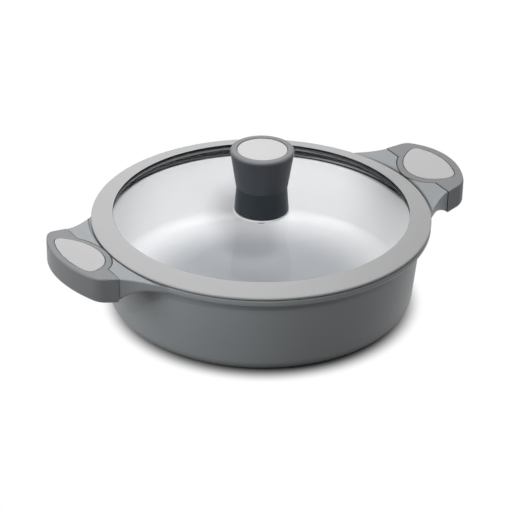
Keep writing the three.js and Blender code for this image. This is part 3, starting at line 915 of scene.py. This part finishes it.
@dataclass
class HandlePlan:
    """Shape that a lug and its grip share: u runs outward from the lid's edge, v along it."""

    rim_radius: float = 147.0
    rim_gap: float = 1.5
    lip_z: float = 76.4
    rise: float = 3.3
    slope: float = 0.188
    joint: float = 15.3
    seam: float = 0.5
    tongue_seam: float = 0.75
    width: float = 99.4
    end_width: float = 93.7
    reach: float = 48.5
    edge_radius: float = 79.5
    corner: float = 5.8
    pad_border: float = 6.8
    pad_inner: float = 7.2
    pad_inner_radius: float = 34.0
    pad_tip: float = 6.5
    tongue_border: float = 5.6
    tongue_thickness: float = 5.2
    outer_steps: int = 40
    inner_steps: int = 56
    tip_steps: int = 18
    tongue_steps: int = 64

    @property
    def edge_centre(self) -> float:
        """Centre of the outer edge's circle."""
        return self.reach - self.edge_radius

    @property
    def pad_centre(self) -> float:
        """Centre of the pad's inner arc."""
        return self.pad_inner + self.pad_inner_radius

    def top(self, u: float) -> float:
        """Height of the sloping top face."""
        return self.lip_z + self.rise + u * self.slope

    def above(self, u: float) -> float:
        """Height that is clear of the top face, for cutting."""
        return self.top(u) + CLEARANCE

    def carry(self, piece: Object) -> None:
        """Moves a piece from the handle's own u to the frame's X."""
        piece.data.transform(Matrix.Translation((self.rim_radius * MM, 0.0, 0.0)))

    def pad_outline(self, gap: float) -> list[Point2]:
        """Lens of the pad.

        Args:
            gap: how far it is grown outward.

        Returns:
            Anticlockwise points.
        """
        tip = self.pad_tip + gap
        inner = self.pad_inner_radius + gap
        outer = self.edge_radius - self.pad_border + gap
        span = self.pad_centre - self.edge_centre
        along = ((outer - tip) ** 2 - (inner - tip) ** 2 + span**2) / (2 * span)
        across = math.sqrt((outer - tip) ** 2 - along**2)
        outer_turn = math.atan2(across, along)
        inner_turn = math.atan2(across, along - span)
        tip_u = self.edge_centre + along
        line = arc((self.edge_centre, 0), outer, -outer_turn, outer_turn, self.outer_steps)
        line += arc((tip_u, across), tip, outer_turn, inner_turn, self.tip_steps)[1:]
        line += arc((self.pad_centre, 0), inner, inner_turn, 2 * math.pi - inner_turn, self.inner_steps)[1:]
        line += arc((tip_u, -across), tip, -inner_turn, -outer_turn, self.tip_steps)[1:-1]
        return line

    def tongue_outline(self, gap: float, end: float) -> list[Point2]:
        """Tongue of the grip round the pad's inner side.

        Args:
            gap: how far it is grown outward.
            end: u where it is cut off.

        Returns:
            Anticlockwise points.
        """
        radius = self.pad_inner_radius + self.tongue_border + gap
        half = math.acos((self.joint - self.pad_centre) / radius)
        line = arc((self.pad_centre, 0), radius, half, 2 * math.pi - half, self.tongue_steps)
        return line + [(end, line[-1][1]), (end, line[0][1])]


@dataclass
class PotCasting:
    """Pot with its flared lip, rebated mouth and two lugs, in one casting."""

    handle: HandlePlan
    wall_top: float = 138.6
    taper: float = math.radians(5.2)
    wall: float = 3.8
    corner: float = 12.5
    inner_corner: float = 11.0
    floor: float = 7.0
    lip: float = 146.8
    lip_band: float = 6.1
    lip_wall: float = 7.2
    lip_round: float = 3.0
    flare: float = 6.0
    rebate: float = 9.3
    edge: float = 1.2
    shoulder: float = 4.0
    seat_shade_share: float = 0.05
    lined_floor: float = 0.9
    level_normal: float = 0.9
    disc_recess: Point2 = (104.3, 2.9)
    recess_edge: float = 0.5
    lug_depth: float = 20.2
    lug_root: float = 4.0
    lug_cove: float = 6.0
    wing_angle: float = math.radians(30.5)
    wing_spread: float = 2.3
    wing_start: float = 12.0
    wing_steps: int = 64
    root_steps: int = 20
    cove_steps: int = 24
    lug_top_edge: float = 1.0
    lug_under_edge: float = 3.0
    lug_end_edge: float = 0.7
    top_edge_share: float = 0.3
    under_edge_share: float = 0.5
    gap_round: float = 1.7
    gap_lift: float = 0.03
    room_sink: float = 0.1
    room_start: float = 30.0
    room_height: float = 20.0
    room_still: float = 0.05
    room_squeeze: float = 0.05

    def __post_init__(self) -> None:
        """Works out the levels and radii that hang on the lip."""
        self.top = self.handle.lip_z
        self.mouth = self.lip - self.lip_wall
        self.band_z = self.top - self.lip_band
        self.rebate_z = self.top - self.rebate
        self.flare_z = self.top - self.lip_band - self.flare
        self.lug_end = self.handle.joint - self.handle.seam

    def outer_radius(self, z: float) -> float:
        """Outside of the wall at a height."""
        return self.wall_top - (self.flare_z - z) * math.tan(self.taper)

    def inner_radius(self, z: float) -> float:
        """Inside of the wall at a height."""
        return self.outer_radius(z) - self.wall / math.cos(self.taper)

    def build(self) -> Object:
        """Shell and both lugs, joined.

        Returns:
            The casting, with the lining as its second material and the black painted shade on the lid's
            seat as its third.
        """
        recess_radius, recess_z = self.disc_recess
        corners = [
            (0.0, recess_z, 0.0),
            (recess_radius, recess_z, 0.0),
            (recess_radius, 0.0, self.recess_edge),
            (self.outer_radius(0.0), 0.0, self.corner),
            (self.outer_radius(self.band_z), self.band_z, self.flare),
            (self.lip, self.band_z, self.lip_round),
            (self.lip, self.top, self.edge),
            (self.mouth, self.top, self.edge),
            (self.mouth, self.rebate_z, self.edge / 2),
            (self.inner_radius(self.rebate_z), self.rebate_z, self.shoulder),
            (self.inner_radius(self.floor), self.floor, self.inner_corner),
            (0.0, self.floor, 0.0),
        ]
        casting = lathe("pot_casting", fillet(corners), RING_SEGMENTS)
        for side in Side:
            combine(casting, self.lug(side), Joining.ADD)
        self.line(casting)
        soften(casting)
        return casting

    def line(self, casting: Object) -> None:
        """Numbers the materials: the inside takes the lining, and the lid's seat takes the black painted
        shade.

        Args:
            casting: the joined mesh.
        """
        # Faces of the mouth from just under the shoulder's top up to the lip take the painted shade.
        seat_z = self.rebate_z - self.shoulder * self.seat_shade_share
        for face in casting.data.polygons:
            reach = math.hypot(face.center.x, face.center.y)
            level = face.center.z / MM
            outward = face.normal.x * face.center.x + face.normal.y * face.center.y
            facing_in = outward < -TINY * reach or face.normal.z > self.level_normal
            above_base = level > self.floor * self.lined_floor
            inside = facing_in and above_base and reach / MM < self.mouth + TINY
            if inside and level < seat_z:
                face.material_index = 1
            elif inside and level < self.top - self.edge:
                face.material_index = 2

    def half_width(self, u: float) -> float:
        """Half of the lug's width.

        Args:
            u: distance from the lid's edge.

        Returns:
            The half width there.
        """
        half = self.handle.width / 2
        meet = self.lip - self.edge
        end_u = meet * math.cos(self.wing_angle) - self.handle.rim_radius
        end = (end_u, meet * math.sin(self.wing_angle))
        lean = (self.lug_end - self.wing_start, half + self.wing_spread)
        wing = bend((self.lug_end, half), lean, end, self.wing_steps)
        for near, far in zip(wing, wing[1:]):
            if far[0] <= u <= near[0]:
                share = (near[0] - u) / (near[0] - far[0])
                return near[1] + (far[1] - near[1]) * share
        return half if u > self.lug_end else end[1]

    def lug(self, side: Side) -> Object:
        """One lug, cut clear of the lid and let in for the grip's tongue.

        Args:
            side: side of the pot.

        Returns:
            The closed lug, which starts inside the lip.
        """
        plan = self.handle
        under_end = plan.top(plan.joint) - self.lug_depth
        lean = (0.0, self.band_z)
        cove = bend((-self.lug_cove, self.band_z), lean, (self.lug_end, under_end), self.cove_steps)
        start = self.lip * math.cos(self.wing_angle) - plan.rim_radius - self.lug_root
        length = -self.lug_cove - start
        root = [(start + length * i / self.root_steps, self.band_z) for i in range(self.root_steps)]
        rings = [self.section(u, low, 0.0) for u, low in root + cove]
        rings[-1] = self.section(self.lug_end - self.lug_end_edge, under_end, 0.0)
        rings.append(self.section(self.lug_end, under_end, self.lug_end_edge))
        lug = skin("lug_" + side.label, rings, capped=True, looped=False)
        recess = prism(
            "tongue_recess",
            plan.tongue_outline(plan.tongue_seam, plan.joint + CLEARANCE),
            (plan.above, lambda u: plan.top(u) - plan.tongue_thickness - plan.seam),
        )
        combine(lug, recess, Joining.CUT)
        plan.carry(lug)
        combine(lug, self.lid_room(), Joining.CUT)
        turn(lug, side)
        return lug

    def section(self, u: float, low: float, trim: float) -> list[Point3]:
        """Outline of the lug across its length.

        Args:
            u: place of the section.
            low: height of its underside.
            trim: how far it is drawn in all round.

        Returns:
            The ring of points.
        """
        half = self.half_width(u) - trim
        high = self.handle.top(u) - trim
        bottom = low + trim
        top_edge = min(self.lug_top_edge, (high - bottom) * self.top_edge_share)
        under_edge = min(self.lug_under_edge, (high - bottom) * self.under_edge_share)
        lower = [(-half, bottom, under_edge), (half, bottom, under_edge)]
        upper = [(half, high, top_edge), (-half, high, top_edge)]
        return [(u, v, z) for v, z in fillet(lower + upper, closed=True)]

    def lid_room(self) -> Object:
        """Room for the lid inside a lug, with a rounded upper edge that follows the lug's slope.

        Returns:
            The closed mesh to cut away.
        """
        plan = self.handle
        room = plan.rim_radius + plan.rim_gap
        floor = self.top - self.room_sink
        level = plan.top(0.0)
        rim = room + self.gap_round
        middle = (rim, level - self.gap_round + self.gap_lift)
        core = self.lip - self.lip_wall / 2
        profile = [(0.0, self.room_start), (core, self.room_start), (core, floor), (room, floor)]
        profile += arc(middle, self.gap_round, math.pi, math.pi / 2, EDGE_STEPS)
        profile += [(rim, level + self.room_height), (0.0, level + self.room_height)]
        cutter = lathe("lid_room", profile, RING_SEGMENTS)
        for vertex in cutter.data.vertices:
            above = vertex.co.z / MM - floor
            if above > self.room_still:
                leaned = above + (vertex.co.x / MM - plan.rim_radius) * plan.slope
                vertex.co.z = (floor + max(leaned, above * self.room_squeeze)) * MM
        return cutter

    def dress(self) -> None:
        """Builds the casting and sets it in the frame."""
        fit(self.build(), Body.POT, "pot_body", [POT_COAT, POT_LINING, POT_SEAT_SHADE])


@dataclass
class BaseDisc:
    """Steel disc in the underside, with shallow rings."""

    rings: int = 6
    ring_width: float = 2.0
    ring_depth: float = 0.5
    ring_edge: float = 0.2
    edge: float = 0.4

    def dress(self) -> None:
        """Builds the disc and sets it in the frame."""
        low, high = node_box("induction_disc")
        radius = high.x
        spacing = radius / (self.rings + 1)
        half = self.ring_width / 2
        groove = ((-half, 0.0), (-half / 2, self.ring_depth), (half / 2, self.ring_depth), (half, 0.0))
        corners = [(0.0, 0.0, 0.0)]
        for i in range(1, self.rings + 1):
            corners += [(i * spacing + away, height, self.ring_edge) for away, height in groove]
        corners += [(radius, low.z, self.edge), (radius, high.z, self.edge), (0.0, high.z, 0.0)]
        disc = turned("base_disc", corners, RING_SEGMENTS)
        fit(disc, Body.POT, "induction_disc", [DISC_STEEL])


@dataclass(frozen=True)
class ScrewShape:
    """Pan-head screw that points up, with a hexagon drive."""

    radius: float
    head_radius: float
    head_height: float
    head_share: float = 0.5
    seat_edge: float = 0.2
    neck_edge: float = 0.1
    tip_share: float = 0.4
    drive_share: float = 0.5
    drive_depth: float = 0.6
    drive_start: float = 1.0

    def build(self, name: str, node: str) -> Object:
        """Screw in the place of a node.

        Args:
            name: name of the piece.
            node: node of the frame.

        Returns:
            The screw.
        """
        low, high = node_box(node)
        seat = low.z + self.head_height
        corners = [
            (0.0, low.z, 0.0),
            (self.head_radius, low.z, self.head_height * self.head_share),
            (self.head_radius, seat, self.seat_edge),
            (self.radius, seat, self.neck_edge),
            (self.radius, high.z, self.radius * self.tip_share),
            (0.0, high.z, 0.0),
        ]
        screw = lathe(name, fillet(corners), SCREW_SEGMENTS)
        drive_radius = self.head_radius * self.drive_share
        drive_top = low.z + self.head_height * self.drive_depth
        drive = plug("drive", drive_radius, low.z - self.drive_start, drive_top, HEXAGON)
        combine(screw, drive, Joining.CUT)
        middle = (low + high) / 2 * MM
        screw.data.transform(Matrix.Translation((middle.x, middle.y, 0.0)))
        soften(screw)
        return screw


@dataclass
class SideHandle:
    """Moulded grip with a light pad in its top and two screws from below."""

    plan: HandlePlan
    side: Side
    depth: float = 23.9
    under_slope: float = 0.25
    top_round: float = 1.6
    under_round: float = 3.8
    joint_top_round: float = 0.4
    joint_under_round: float = 5.0
    edge_steps: int = 72
    corner_steps: int = 16
    tongue_root: float = 6.0
    tongue_drop: float = 0.01
    tongue_round: float = 0.5
    pad_thickness: float = 2.4
    pad_crown: float = 0.4
    pad_edge: float = 0.7
    pad_gap: float = 0.6
    screw_inset: float = 13.0
    screw_spacing: float = 34.0
    screw_hole: float = 4.7
    screw_recess: float = 6.6
    hole_start: float = 40.0
    screw: ScrewShape = ScrewShape(2.4, 4.4, 2.8)

    def under(self, u: float) -> float:
        """Height of the sloping underside."""
        return self.plan.top(self.plan.joint) - self.depth + (u - self.plan.joint) * self.under_slope

    def outline(self) -> tuple[list[Point2], tuple[list[float], list[float]]]:
        """Grip in plan.

        Returns:
            Anticlockwise points, and the share of the upper and the lower rounding that each takes.
        """
        plan = self.plan
        half = plan.width / 2
        end = plan.end_width / 2
        turn_at = math.asin(end / plan.edge_radius)
        tip = (plan.edge_centre + plan.edge_radius * math.cos(turn_at), end)
        along = Vector((tip[0] - plan.joint, end - half)).normalized()
        before = (tip[0] - along.x * plan.corner, tip[1] - along.y * plan.corner)
        edge_turn = turn_at - plan.corner / plan.edge_radius
        edge = arc((plan.edge_centre, 0), plan.edge_radius, -edge_turn, edge_turn, self.edge_steps)
        upper = bend(edge[-1], tip, before, self.corner_steps)
        lower = [(u, -v) for u, v in reversed(upper)]
        rim = lower + edge[1:-1] + upper
        joint = [(plan.joint, half), (plan.joint, -half)]
        whole = [1.0] * len(rim)
        upper_joint = [self.joint_top_round / self.top_round] * len(joint)
        under_joint = [self.joint_under_round / self.under_round] * len(joint)
        return rim + joint, (whole + upper_joint, whole + under_joint)

    def build_grip(self) -> Object:
        """Grip with its tongue, pad seat and screw holes.

        Returns:
            The grip, on its side of the pot.
        """
        plan = self.plan
        outline, eases = self.outline()
        rounds = (self.top_round, self.under_round)
        grip = prism("grip_" + self.side.label, outline, (plan.top, self.under), rounds, eases)
        tongue = prism(
            "tongue",
            plan.tongue_outline(0.0, plan.joint + self.tongue_root),
            (lambda u: plan.top(u) - self.tongue_drop, lambda u: plan.top(u) - plan.tongue_thickness),
            (self.tongue_round, 0.0),
        )
        combine(grip, tongue, Joining.ADD)
        seat_drop = self.pad_thickness - self.pad_crown + self.pad_gap
        heights = (plan.above, lambda u: plan.top(u) - seat_drop)
        combine(grip, prism("pad_seat", plan.pad_outline(self.pad_gap), heights), Joining.CUT)
        middle = plan.joint + self.screw_inset
        hole_top = self.under(middle) + self.screw_recess
        for across in (-self.screw_spacing / 2, self.screw_spacing / 2):
            hole = plug("screw_hole", self.screw_hole, self.hole_start, hole_top, SCREW_SEGMENTS)
            hole.data.transform(Matrix.Translation((middle * MM, across * MM, 0.0)))
            combine(grip, hole, Joining.CUT)
        return self.place(grip)

    def build_pad(self) -> Object:
        """Pad that fills the grip's seat and stands a little proud of it.

        Returns:
            The pad, on its side of the pot.
        """
        plan = self.plan
        drop = self.pad_thickness - self.pad_crown
        heights = (lambda u: plan.top(u) + self.pad_crown, lambda u: plan.top(u) - drop)
        rounds = (self.pad_edge, 0.0)
        return self.place(prism("pad_" + self.side.label, plan.pad_outline(0.0), heights, rounds))

    def place(self, piece: Object) -> Object:
        """Carries a finished piece to its side of the pot.

        Args:
            piece: the piece, in the handle's own u and v.

        Returns:
            The same piece, shaded smooth.
        """
        self.plan.carry(piece)
        turn(piece, self.side)
        soften(piece)
        return piece

    def dress(self) -> None:
        """Builds grip, pad and screws and sets them in the frame."""
        label = self.side.label
        fit(self.build_grip(), Body.POT, "handle_grip_" + label, [GRIP_PLASTIC])
        fit(self.build_pad(), Body.POT, "handle_insert_" + label, [PAD_RUBBER])
        for place in ("front", "back"):
            node = f"handle_screw_{label}_{place}"
            screw = self.screw.build(f"grip_screw_{label}_{place}", node)
            fit(screw, Body.POT, node, [SCREW_STEEL])


@dataclass
class Lid:
    """Flat glass in a wide silicone rim with a skirt."""

    rim_edge_z: float = 79.5
    rim_edge_thickness: float = 2.4
    rim_edge_share: float = 0.48
    rim_width: float = 18.9
    rim_inner_round: float = 0.95
    channel_round: float = 0.2
    lower_lip: float = 2.0
    lower_reach: float = 6.6
    lower_rounds: Point2 = (0.4, 0.6)
    seat_z: float = 76.7
    seat_edge: float = 143.2
    seat_rounds: Point2 = (0.4, 0.5)
    skirt_radius: float = 139.3
    skirt_thickness: float = 3.6
    skirt_round: float = 1.7
    skirt_cove: float = 1.0
    gap: float = 0.3
    glass_hole: float = 4.2
    glass_edges: Point2 = (0.3, 0.8)
    inward: float = 0.7

    def build_rim(self) -> Object:
        """Silicone rim with a rounded outer edge.

        Returns:
            The rim, whose faces towards the axis take the black painted shade as its second material.
        """
        low, high = node_box("lid_rim")
        glass_low, glass_high = node_box("lid_glass")
        outer = high.x
        inner = outer - self.rim_width
        edge_low = self.rim_edge_z - self.rim_edge_thickness
        edge_round = self.rim_edge_thickness * self.rim_edge_share
        channel = glass_high.x + self.gap
        channel_top = glass_high.z + self.gap
        channel_low = glass_low.z - self.gap
        lower = glass_high.x - self.lower_reach
        lower_z = channel_low - self.lower_lip
        skirt_inner = self.skirt_radius - self.skirt_thickness
        corners = [
            (skirt_inner, lower_z, self.skirt_cove),
            (skirt_inner, low.z, self.skirt_round),
            (self.skirt_radius, low.z, self.skirt_round),
            (self.skirt_radius, self.seat_z, self.seat_rounds[0]),
            (self.seat_edge, self.seat_z, self.seat_rounds[1]),
            (self.seat_edge, edge_low, self.seat_rounds[1]),
            (outer, edge_low, edge_round),
            (outer, self.rim_edge_z, edge_round),
            (inner, high.z, self.rim_inner_round),
            (inner, channel_top, self.channel_round),
            (channel, channel_top, self.channel_round),
            (channel, channel_low, self.channel_round),
            (lower, channel_low, self.lower_rounds[0]),
            (lower, lower_z, self.lower_rounds[1]),
        ]
        rim = turned("rim_ring", corners, RING_SEGMENTS, closed=True)
        # Painted shade: faces that look towards the axis, such as the inner edge above the glass and the
        # inside of the skirt, take the black material.
        for face in rim.data.polygons:
            outward = Vector((face.center.x, face.center.y, 0.0)).normalized()
            if face.normal.dot(outward) < -self.inward:
                face.material_index = 1
        return rim

    def dress(self) -> None:
        """Builds rim and glass and sets them in the frame."""
        fit(self.build_rim(), Body.LID, "lid_rim", [RIM_SILICONE, RIM_SHADE])
        glass = flat_ring("glass_disc", "lid_glass", self.glass_hole, self.glass_edges, RING_SEGMENTS)
        fit(glass, Body.LID, "lid_glass", [LID_GLASS])


@dataclass
class Knob:
    """Flared knob in two tones, with its light cap and the fixings under the glass."""

    waist: float = 22.4
    waist_step: float = 0.6
    waist_round: float = 0.5
    base_height: float = 23.1
    base_round: float = 0.9
    shoulder_round: float = 0.3
    spigot: float = 14.0
    spigot_rounds: Point2 = (0.2, 0.3)
    bore: float = 3.3
    gap: float = 0.3
    cap_floor: float = 3.1
    cap_round: float = 0.5
    cap_seat_round: float = 0.4
    edge: float = 1.9
    foot_edge: float = 0.4
    gasket_edge: float = 0.5
    washer_edge: float = 0.2
    screw: ScrewShape = ScrewShape(3.0, 6.2, 3.6)

    def build_base(self) -> Object:
        """Dark lower part, drawn in slightly towards the waist.

        Returns:
            The lower part.
        """
        low, high = node_box("knob_base")
        top = low.z + self.base_height
        corners = [
            (self.bore, low.z, 0.0),
            (high.x, low.z, self.base_round),
            (self.waist - self.waist_step, top, self.shoulder_round),
            (self.spigot, top, self.spigot_rounds[0]),
            (self.spigot, high.z, self.spigot_rounds[1]),
            (self.bore, high.z, 0.0),
        ]
        return turned("knob_collar", corners, KNOB_SEGMENTS, closed=True)

    def build_grip(self) -> Object:
        """Grey upper part, flared to its rounded rim and let in for the cap.

        Returns:
            The upper part.
        """
        low, high = node_box("knob_grip")
        nut = node_box("knob_nut")[1]
        cap = node_box("knob_cap")[1].x + self.gap
        cap_z = high.z - self.cap_floor
        nut_radius = nut.x + self.gap
        nut_top = nut.z + self.gap
        socket = self.spigot + self.gap
        socket_top = node_box("knob_base")[1].z + self.gap
        corners = [
            (0.0, nut_top, 0.0),
            (nut_radius, nut_top, 0.0),
            (nut_radius, socket_top, 0.0),
            (socket, socket_top, 0.0),
            (socket, low.z, 0.0),
            (self.waist, low.z, self.waist_round),
            (high.x, high.z, self.edge),
            (cap, high.z, self.cap_seat_round),
            (cap, cap_z, 0.0),
            (0.0, cap_z, 0.0),
        ]
        return turned("knob_flare", corners, KNOB_SEGMENTS)

    def build_cap(self) -> Object:
        """Light disc in the top.

        Returns:
            The disc.
        """
        low, high = node_box("knob_cap")
        lower = [(0.0, low.z, 0.0), (high.x, low.z, 0.0)]
        upper = [(high.x, high.z, self.cap_round), (0.0, high.z, 0.0)]
        return turned("knob_top_disc", lower + upper, KNOB_SEGMENTS)

    def ring(self, name: str, node: str, edge: float) -> Object:
        """A flat ring round the screw, in the place of a node."""
        return flat_ring(name, node, self.bore, (edge, edge), KNOB_SEGMENTS)

    def dress(self) -> None:
        """Builds the knob's pieces and sets them in the frame."""
        foot = self.ring("knob_foot", "knob_foot_ring", self.foot_edge)
        fit(foot, Body.LID, "knob_foot_ring", [RING_SILICONE])
        fit(self.build_base(), Body.LID, "knob_base", [KNOB_DARK])
        fit(self.build_grip(), Body.LID, "knob_grip", [KNOB_GREY])
        fit(self.build_cap(), Body.LID, "knob_cap", [PAD_RUBBER])
        gasket = self.ring("knob_seal", "knob_gasket", self.gasket_edge)
        fit(gasket, Body.LID, "knob_gasket", [RING_SILICONE])
        washer = self.ring("knob_plate", "knob_washer", self.washer_edge)
        fit(washer, Body.LID, "knob_washer", [SCREW_STEEL])
        screw = self.screw.build("knob_bolt", "knob_screw")
        fit(screw, Body.LID, "knob_screw", [SCREW_STEEL])


# Studio, in metres

POT_MIDDLE: Point3 = (0.0, 0.0, 0.0294)


@dataclass(frozen=True)
class Lamp:
    """A square soft lamp, or a spot with a soft edge where it has a cone; power in watts."""

    name: str
    place: Point3
    size: float
    power: float
    aim: Point3 = POT_MIDDLE
    cone: float = 0.0

    def hang(self) -> None:
        """Puts the lamp in its place, out of the camera's sight."""
        data = bpy.data.lights.new(self.name, "SPOT" if self.cone else "AREA")
        data.energy = self.power
        if self.cone:
            data.spot_size = self.cone
            data.spot_blend = 1.0
            data.shadow_soft_size = self.size
        else:
            data.shape = "SQUARE"
            data.size = self.size
        lamp = bpy.data.objects.new(self.name, data)
        lamp.location = self.place
        lamp.rotation_mode = "QUATERNION"
        lamp.rotation_quaternion = (Vector(self.aim) - Vector(self.place)).to_track_quat("-Z", "Y")
        lamp.visible_camera = False
        bpy.context.scene.collection.objects.link(lamp)


LAMPS = (
    Lamp("top_softbox", (0.15, 0.1, 1.4), 1.2, 16.0),
    Lamp("back_softbox", (0.75, 1.25, 0.85), 0.9, 3.8),
    Lamp("lid_spot", (-0.47, -0.99, 1.25), 0.15, 87.0, (-0.015, 0.14, 0.065), math.radians(16.0)),
    Lamp("left_softbox", (-1.46, 0.02, 0.65), 0.8, 15.0),
    Lamp("right_softbox", (0.9, -1.07, 0.75), 0.8, 3.0),
)


@dataclass
class Studio:
    """White floor and world, the lamps, and the camera at the photograph's angle."""

    floor_half: float = 4.0
    floor_drop: float = 0.0003
    floor_tone: float = 0.18
    floor_bounce: float = 0.2
    shadow_shift: Point3 = (0.0015, 0.0057, 0.0)
    shadow_from: float = 0.1205
    shadow_to: float = 0.1425
    ambient: float = 0.07
    back: Point3 = (-0.4439, -0.7505, 0.4896)
    distance: float = 1.729
    sensor: float = 36.0
    focal_pixels: float = 1970.0
    target_pixel: Point2 = (260.56, 263.17)
    roll: float = 0.0157

    def seen(self, sheet: Sheet) -> Socket:
        """One for rays that show the background, straight, mirrored or through glass.

        Args:
            sheet: the tree that asks.

        Returns:
            The socket.
        """
        rays = sheet.add("LightPath").outputs
        mirrored = sheet.math("MAXIMUM", rays["Is Glossy Ray"], rays["Is Transmission Ray"])
        return sheet.math("MAXIMUM", rays["Is Camera Ray"], mirrored)

    def build_world(self) -> None:
        """White where it is seen, and soft light from all round."""
        world = bpy.data.worlds.new("studio_world")
        bpy.context.scene.world = world
        world.use_nodes = True
        sheet = Sheet(world.node_tree)
        white = (1.0, 1.0, 1.0, 1.0)
        light, shown = (
            sheet.add("Background", {"Color": white, "Strength": strength}).outputs[0]
            for strength in (self.ambient, 1.0)
        )
        sheet.add("OutputWorld", {"Surface": sheet.blend(self.seen(sheet), light, shown)})

    def build_floor(self) -> None:
        """Pale floor that keeps the shadow near the pot and goes to white away from it."""
        half = self.floor_half / MM
        below = -self.floor_drop / MM
        corners = [(-half, -half, below), (half, -half, below), (half, half, below), (-half, half, below)]
        floor = make_object("studio_floor", corners, [(0, 1, 2, 3)])
        material = bpy.data.materials.new("studio_paper")
        material.use_nodes = True
        sheet = Sheet(material.node_tree)
        shown, bounced = ((tone, tone, tone, 1.0) for tone in (self.floor_tone, self.floor_bounce))
        bounce = sheet.add("LightPath").outputs["Is Diffuse Ray"]
        paper = sheet.add("BsdfDiffuse", {"Color": sheet.tint(bounce, shown, bounced)}).outputs[0]
        shift = {0: sheet.place(), 1: self.shadow_shift}
        moved = sheet.add("VectorMath", shift, operation="ADD").outputs["Vector"]
        glow = sheet.fade(sheet.length(moved), self.shadow_from, self.shadow_to)
        shine = sheet.add("Emission", {"Strength": 1.0}).outputs[0]
        surface = sheet.blend(sheet.math("MULTIPLY", glow, self.seen(sheet)), paper, shine)
        sheet.add("OutputMaterial", {"Surface": surface})
        floor.data.materials.append(material)

    def build_camera(self) -> None:
        """Camera with the photograph's place, lens and framing."""
        data = bpy.data.cameras.new("photo_camera")
        data.sensor_width = self.sensor
        data.lens = self.focal_pixels / PHOTO_WIDTH * data.sensor_width
        middle = PHOTO_WIDTH / 2
        data.shift_x = (middle - self.target_pixel[0]) / PHOTO_WIDTH
        data.shift_y = (self.target_pixel[1] - middle) / PHOTO_WIDTH
        camera = bpy.data.objects.new("photo_camera", data)
        back = Vector(self.back).normalized()
        facing = (-back).to_track_quat("-Z", "Y").to_matrix().to_4x4()
        place = Matrix.Translation(Vector(POT_MIDDLE) + back * self.distance)
        camera.matrix_world = place @ facing @ Matrix.Rotation(self.roll, 4, "Z")
        bpy.context.scene.collection.objects.link(camera)
        bpy.context.scene.camera = camera

    def build(self) -> None:
        """Sets up world, floor, lamps and camera."""
        bpy.context.scene.view_settings.view_transform = "Standard"
        self.build_world()
        self.build_floor()
        for lamp in LAMPS:
            lamp.hang()
        self.build_camera()


def main() -> None:
    """Loads the frame, builds each sub-assembly over it and sets the studio."""
    logging.basicConfig(level=logging.INFO, format="%(name)s: %(message)s")
    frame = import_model()
    plan = HandlePlan()
    PotCasting(plan).dress()
    BaseDisc().dress()
    for side in Side:
        SideHandle(plan, side).dress()
    Lid().dress()
    Knob().dress()
    nut = frame["nodes"]["knob_nut"]
    nut.data.materials.clear()
    nut.data.materials.append(NUT_BRASS.material())
    Studio().build()


if __name__ == "__main__":
    main()
